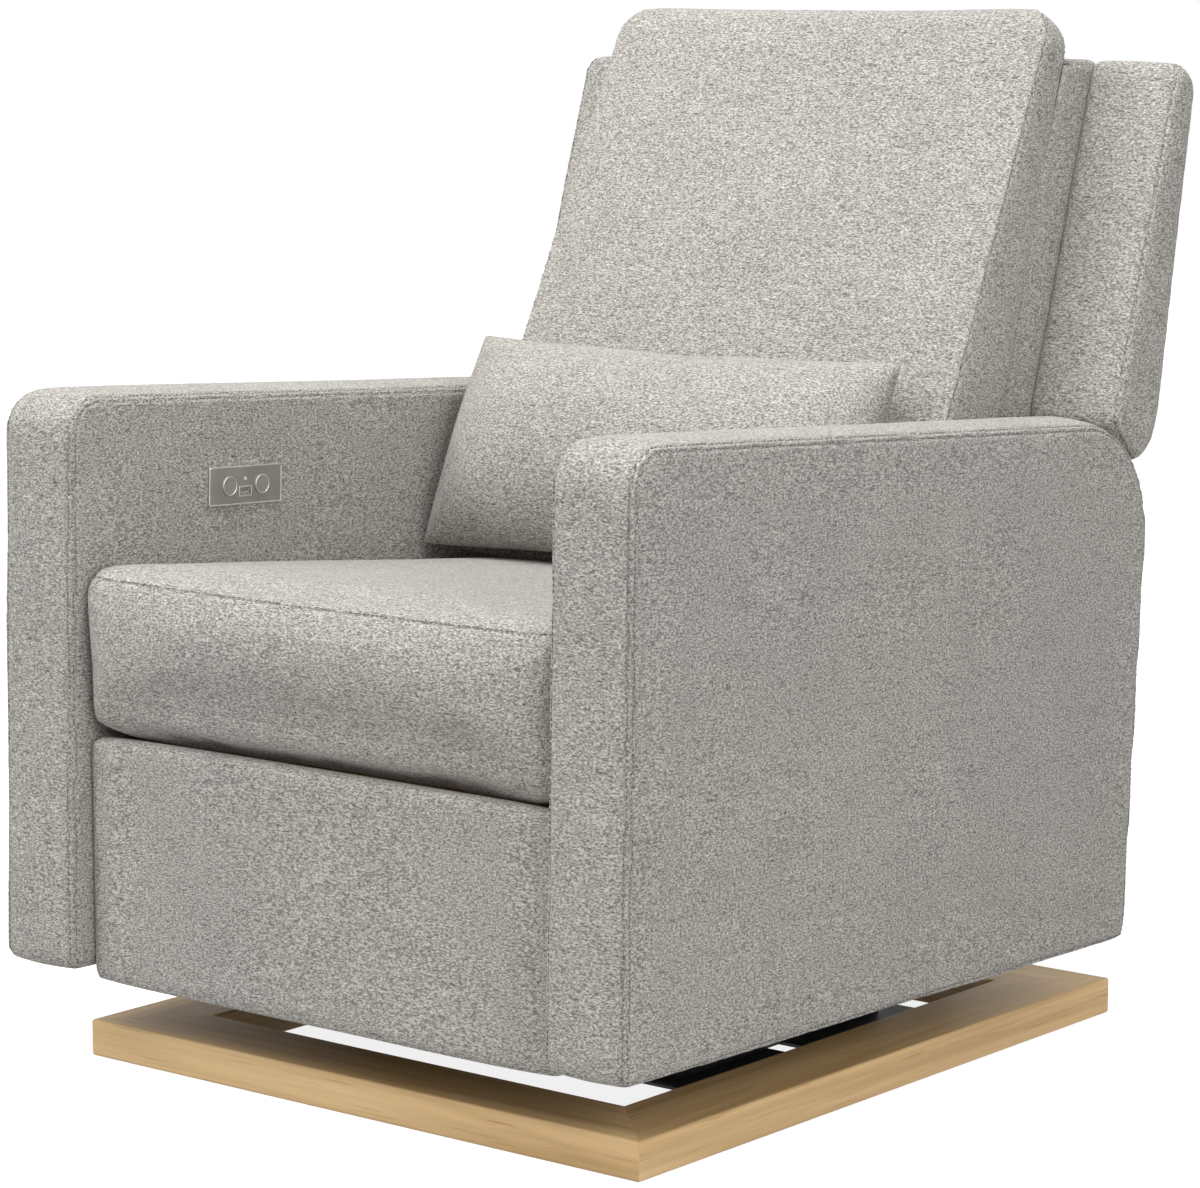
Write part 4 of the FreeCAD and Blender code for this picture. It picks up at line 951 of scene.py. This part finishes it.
def lining(side):
    """Cloth that closes the gap beside a back post, from the cushion to the wing's front."""
    word = "left" if side < 0 else "right"
    cushion = side_outline("back_cushion", 1)
    wing_side = side_outline(f"back_wing_{word}", side)
    wing_low, wing_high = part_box(f"back_wing_{word}")
    lane = post_lane() - 0.0004
    top = wing_high.z - 0.006
    foot = wing_low.z + 0.012
    heights = np.linspace(foot, top, 60)
    row = 9
    points = []
    for layer in (0.0, 0.0012):
        for z in heights:
            start = outline_side(cushion, z, True) - 0.010
            end = outline_side(wing_side, z, False) + 0.010
            start = min(start, end - 0.004)
            for share in np.linspace(0, 1, row):
                bow = 0.0015 * math.sin(math.pi * share)
                points.append((side * (lane + bow - layer), start + (end - start) * share, z))
    obj = two_layers(f"back_lining_{word}", points, len(heights), row)
    obj.data.materials.append(MATERIALS["upholstery"])
    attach(obj, "back")
    return obj


def outline_side(outline, z, rear):
    """Where the outline's rear or front edge is at a height."""
    hits = []
    for (y0, z0), (y1, z1) in zip(outline, np.roll(outline, -1, axis=0)):
        if (z0 - z) * (z1 - z) <= 0 and z0 != z1:
            hits.append(y0 + (y1 - y0) * (z - z0) / (z1 - z0))
    return (max(hits) if rear else min(hits)) if hits else outline[:, 0].max()


# ---------------------------------------------------------------- trim of the control plate

def ring_band(name, outline, thick, height, x, towards):
    """A slim raised rim that follows a closed (y, z) outline on a face across X."""
    count = len(outline)
    section = [(0.0, 0.0), (0.12, 0.75), (0.3, 1.0), (0.7, 1.0), (0.88, 0.75), (1.0, 0.0)]
    points = []
    for across, rise in section:
        line = inset(outline, thick * across)
        points += [(x + towards * height * rise, p[0], p[1]) for p in line]
    faces = []
    for ring in range(len(section)):
        nxt = (ring + 1) % len(section)
        for k in range(count):
            faces.append((ring * count + k, ring * count + (k + 1) % count,
                          nxt * count + (k + 1) % count, nxt * count + k))
    obj = mesh_object(name, points, faces)
    face_outwards(obj)
    shade_smooth(obj)
    return obj


def circle_outline(y, z, radius, count=64):
    turn = np.linspace(0, 2 * math.pi, count, endpoint=False)
    return np.column_stack([y + radius * np.cos(turn), z + radius * np.sin(turn)])


def control_trim():
    """A bright rim round the plate, a ring round each button and a lamp above the socket."""
    low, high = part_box("control_plate")
    face = high.x
    corners = np.array([v.co for v in NODES["control_plate"].data.vertices])
    flat = corners[np.abs(corners[:, 0] - face) < 1e-5][:, 1:]
    left = flat[np.argmin(flat[:, 0])]
    foot = flat[np.argmin(flat[:, 1])]
    right = flat[np.argmax(flat[:, 0])]
    head = flat[np.argmax(flat[:, 1])]
    around = soften(ordered([left, foot, right, head]), 0.0035, 0.0008)
    rim = ring_band("control_rim", around, 0.0016, 0.0007, face, 1)
    rim.data.materials.append(MATERIALS["bright_rim"])
    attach(rim, "chassis")
    for word in ("recline", "upright"):
        box_low, box_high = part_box(f"button_{word}")
        y, z = (box_low.y + box_high.y) / 2, (box_low.z + box_high.z) / 2
        points = np.array([v.co for v in NODES[f"button_{word}"].data.vertices])
        cap = points[points[:, 0] > box_high.x - 1e-4]
        radius = np.hypot(cap[:, 1] - y, cap[:, 2] - z).max()
        ring = ring_band(f"button_ring_{word}", circle_outline(y, z, radius * 0.98), 0.0011, 0.0004,
                         box_high.x, 1)
        ring.data.materials.append(MATERIALS["bright_rim"])
        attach(ring, f"button_{word}")
    socket_low, socket_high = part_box("charging_socket")
    y = (socket_low.y + socket_high.y) / 2
    bezel = soften(np.array([(socket_low.y - 0.0014, socket_low.z - 0.0014),
                             (socket_high.y + 0.0014, socket_low.z - 0.0014),
                             (socket_high.y + 0.0014, socket_high.z + 0.0014),
                             (socket_low.y - 0.0014, socket_high.z + 0.0014)]), 0.001, 0.0005)
    surround = ring_band("socket_surround", bezel, 0.0012, 0.0004, face, 1)
    surround.data.materials.append(MATERIALS["bright_rim"])
    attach(surround, "chassis")
    lamp = ring_band("charging_lamp", circle_outline(y, socket_high.z + 0.0085, 0.0018, 32), 0.00175,
                     0.0004, face, 1)
    lamp.data.materials.append(MATERIALS["nylon"])
    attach(lamp, "chassis")


def ordered(corners):
    """Four corners of a rectangle, anticlockwise."""
    corners = np.array(corners)
    middle = corners.mean(axis=0)
    turn = np.arctan2(corners[:, 1] - middle[1], corners[:, 0] - middle[0])
    return corners[np.argsort(turn)]


# ---------------------------------------------------------------- stage

def aim(obj, place, target):
    obj.location = place
    obj.rotation_mode = "QUATERNION"
    obj.rotation_quaternion = (Vector(target) - Vector(place)).to_track_quat("-Z", "Y")


def make_camera():
    data = bpy.data.cameras.new("camera")
    data.sensor_fit = "HORIZONTAL"
    data.sensor_width = 36.0
    data.lens = CAMERA_LENS
    data.clip_end = 60.0
    camera = add_object("camera", data)
    aim(camera, CAMERA_PLACE, CAMERA_TARGET)
    bpy.context.scene.camera = camera


def lamp(name, place, size, power):
    data = bpy.data.lights.new(name, "AREA")
    data.shape = "DISK"
    data.size = size
    data.energy = power
    aim(add_object(name, data), place, LAMP_TARGET)


def make_stage():
    half = FLOOR_HALF
    corners = [(-half, -half, 0), (half, -half, 0), (half, half, 0), (-half, half, 0)]
    floor = mesh_object("floor", corners, [(0, 1, 2, 3)])
    n = Nodes("pale_floor")
    tree = n.tree
    mottle = n.noise(n.place, 5.0, 2.0)
    colour = n.ramp(mottle, [(0.0, grey(0.44)), (1.0, grey(0.46))])
    n.finish(colour, 0.9, n.bump(mottle, 0.0005, 0.2), Specular_IOR_Level=0.1)
    glow = n.add("ShaderNodeEmission")
    glow.inputs["Strength"].default_value = 0.85
    plain = n.add("ShaderNodeAddShader")
    rays = n.add("ShaderNodeLightPath")
    seen = n.math("MAXIMUM", n.math("MAXIMUM", rays.outputs["Is Camera Ray"], rays.outputs["Is Glossy Ray"]),
                  rays.outputs["Is Transmission Ray"])
    choose = n.add("ShaderNodeMixShader")
    output = next(x for x in tree.nodes if x.type == "OUTPUT_MATERIAL")
    n.join(n.shader.outputs[0], plain.inputs[0])
    n.join(glow.outputs[0], plain.inputs[1])
    n.join(seen, choose.inputs[0])
    n.join(n.shader.outputs[0], choose.inputs[1])
    n.join(plain.outputs[0], choose.inputs[2])
    n.join(choose.outputs[0], output.inputs["Surface"])
    floor.data.materials.append(n.material)

    world = bpy.data.worlds.new("studio")
    bpy.context.scene.world = world
    world.use_nodes = True
    tree = world.node_tree
    tree.nodes.clear()
    sky = tree.nodes.new("ShaderNodeBackground")
    sky.inputs["Color"].default_value = (1.0, 0.99, 0.975, 1.0)
    sky.inputs["Strength"].default_value = 0.45
    white = tree.nodes.new("ShaderNodeBackground")
    white.inputs["Color"].default_value = (1.0, 1.0, 1.0, 1.0)
    white.inputs["Strength"].default_value = 1.0
    rays = tree.nodes.new("ShaderNodeLightPath")
    first = tree.nodes.new("ShaderNodeMath")
    first.operation = "MAXIMUM"
    second = tree.nodes.new("ShaderNodeMath")
    second.operation = "MAXIMUM"
    choose = tree.nodes.new("ShaderNodeMixShader")
    output = tree.nodes.new("ShaderNodeOutputWorld")
    link = tree.links.new
    link(rays.outputs["Is Camera Ray"], first.inputs[0])
    link(rays.outputs["Is Glossy Ray"], first.inputs[1])
    link(first.outputs[0], second.inputs[0])
    link(rays.outputs["Is Transmission Ray"], second.inputs[1])
    link(second.outputs[0], choose.inputs[0])
    link(sky.outputs[0], choose.inputs[1])
    link(white.outputs[0], choose.inputs[2])
    link(choose.outputs[0], output.inputs["Surface"])

    for row in LAMPS:
        lamp(*row)
    bpy.context.scene.view_settings.view_transform = "Standard"


# ---------------------------------------------------------------- all together

make_camera()
make_stage()
paint_cad_nodes()
arm(-1)
arm(1)
seat()
back_rest()
wing(-1)
wing(1)
outer_back()
footrest()
rear_panel()
rear_flap()
lining(-1)
lining(1)
pillow()
control_trim()
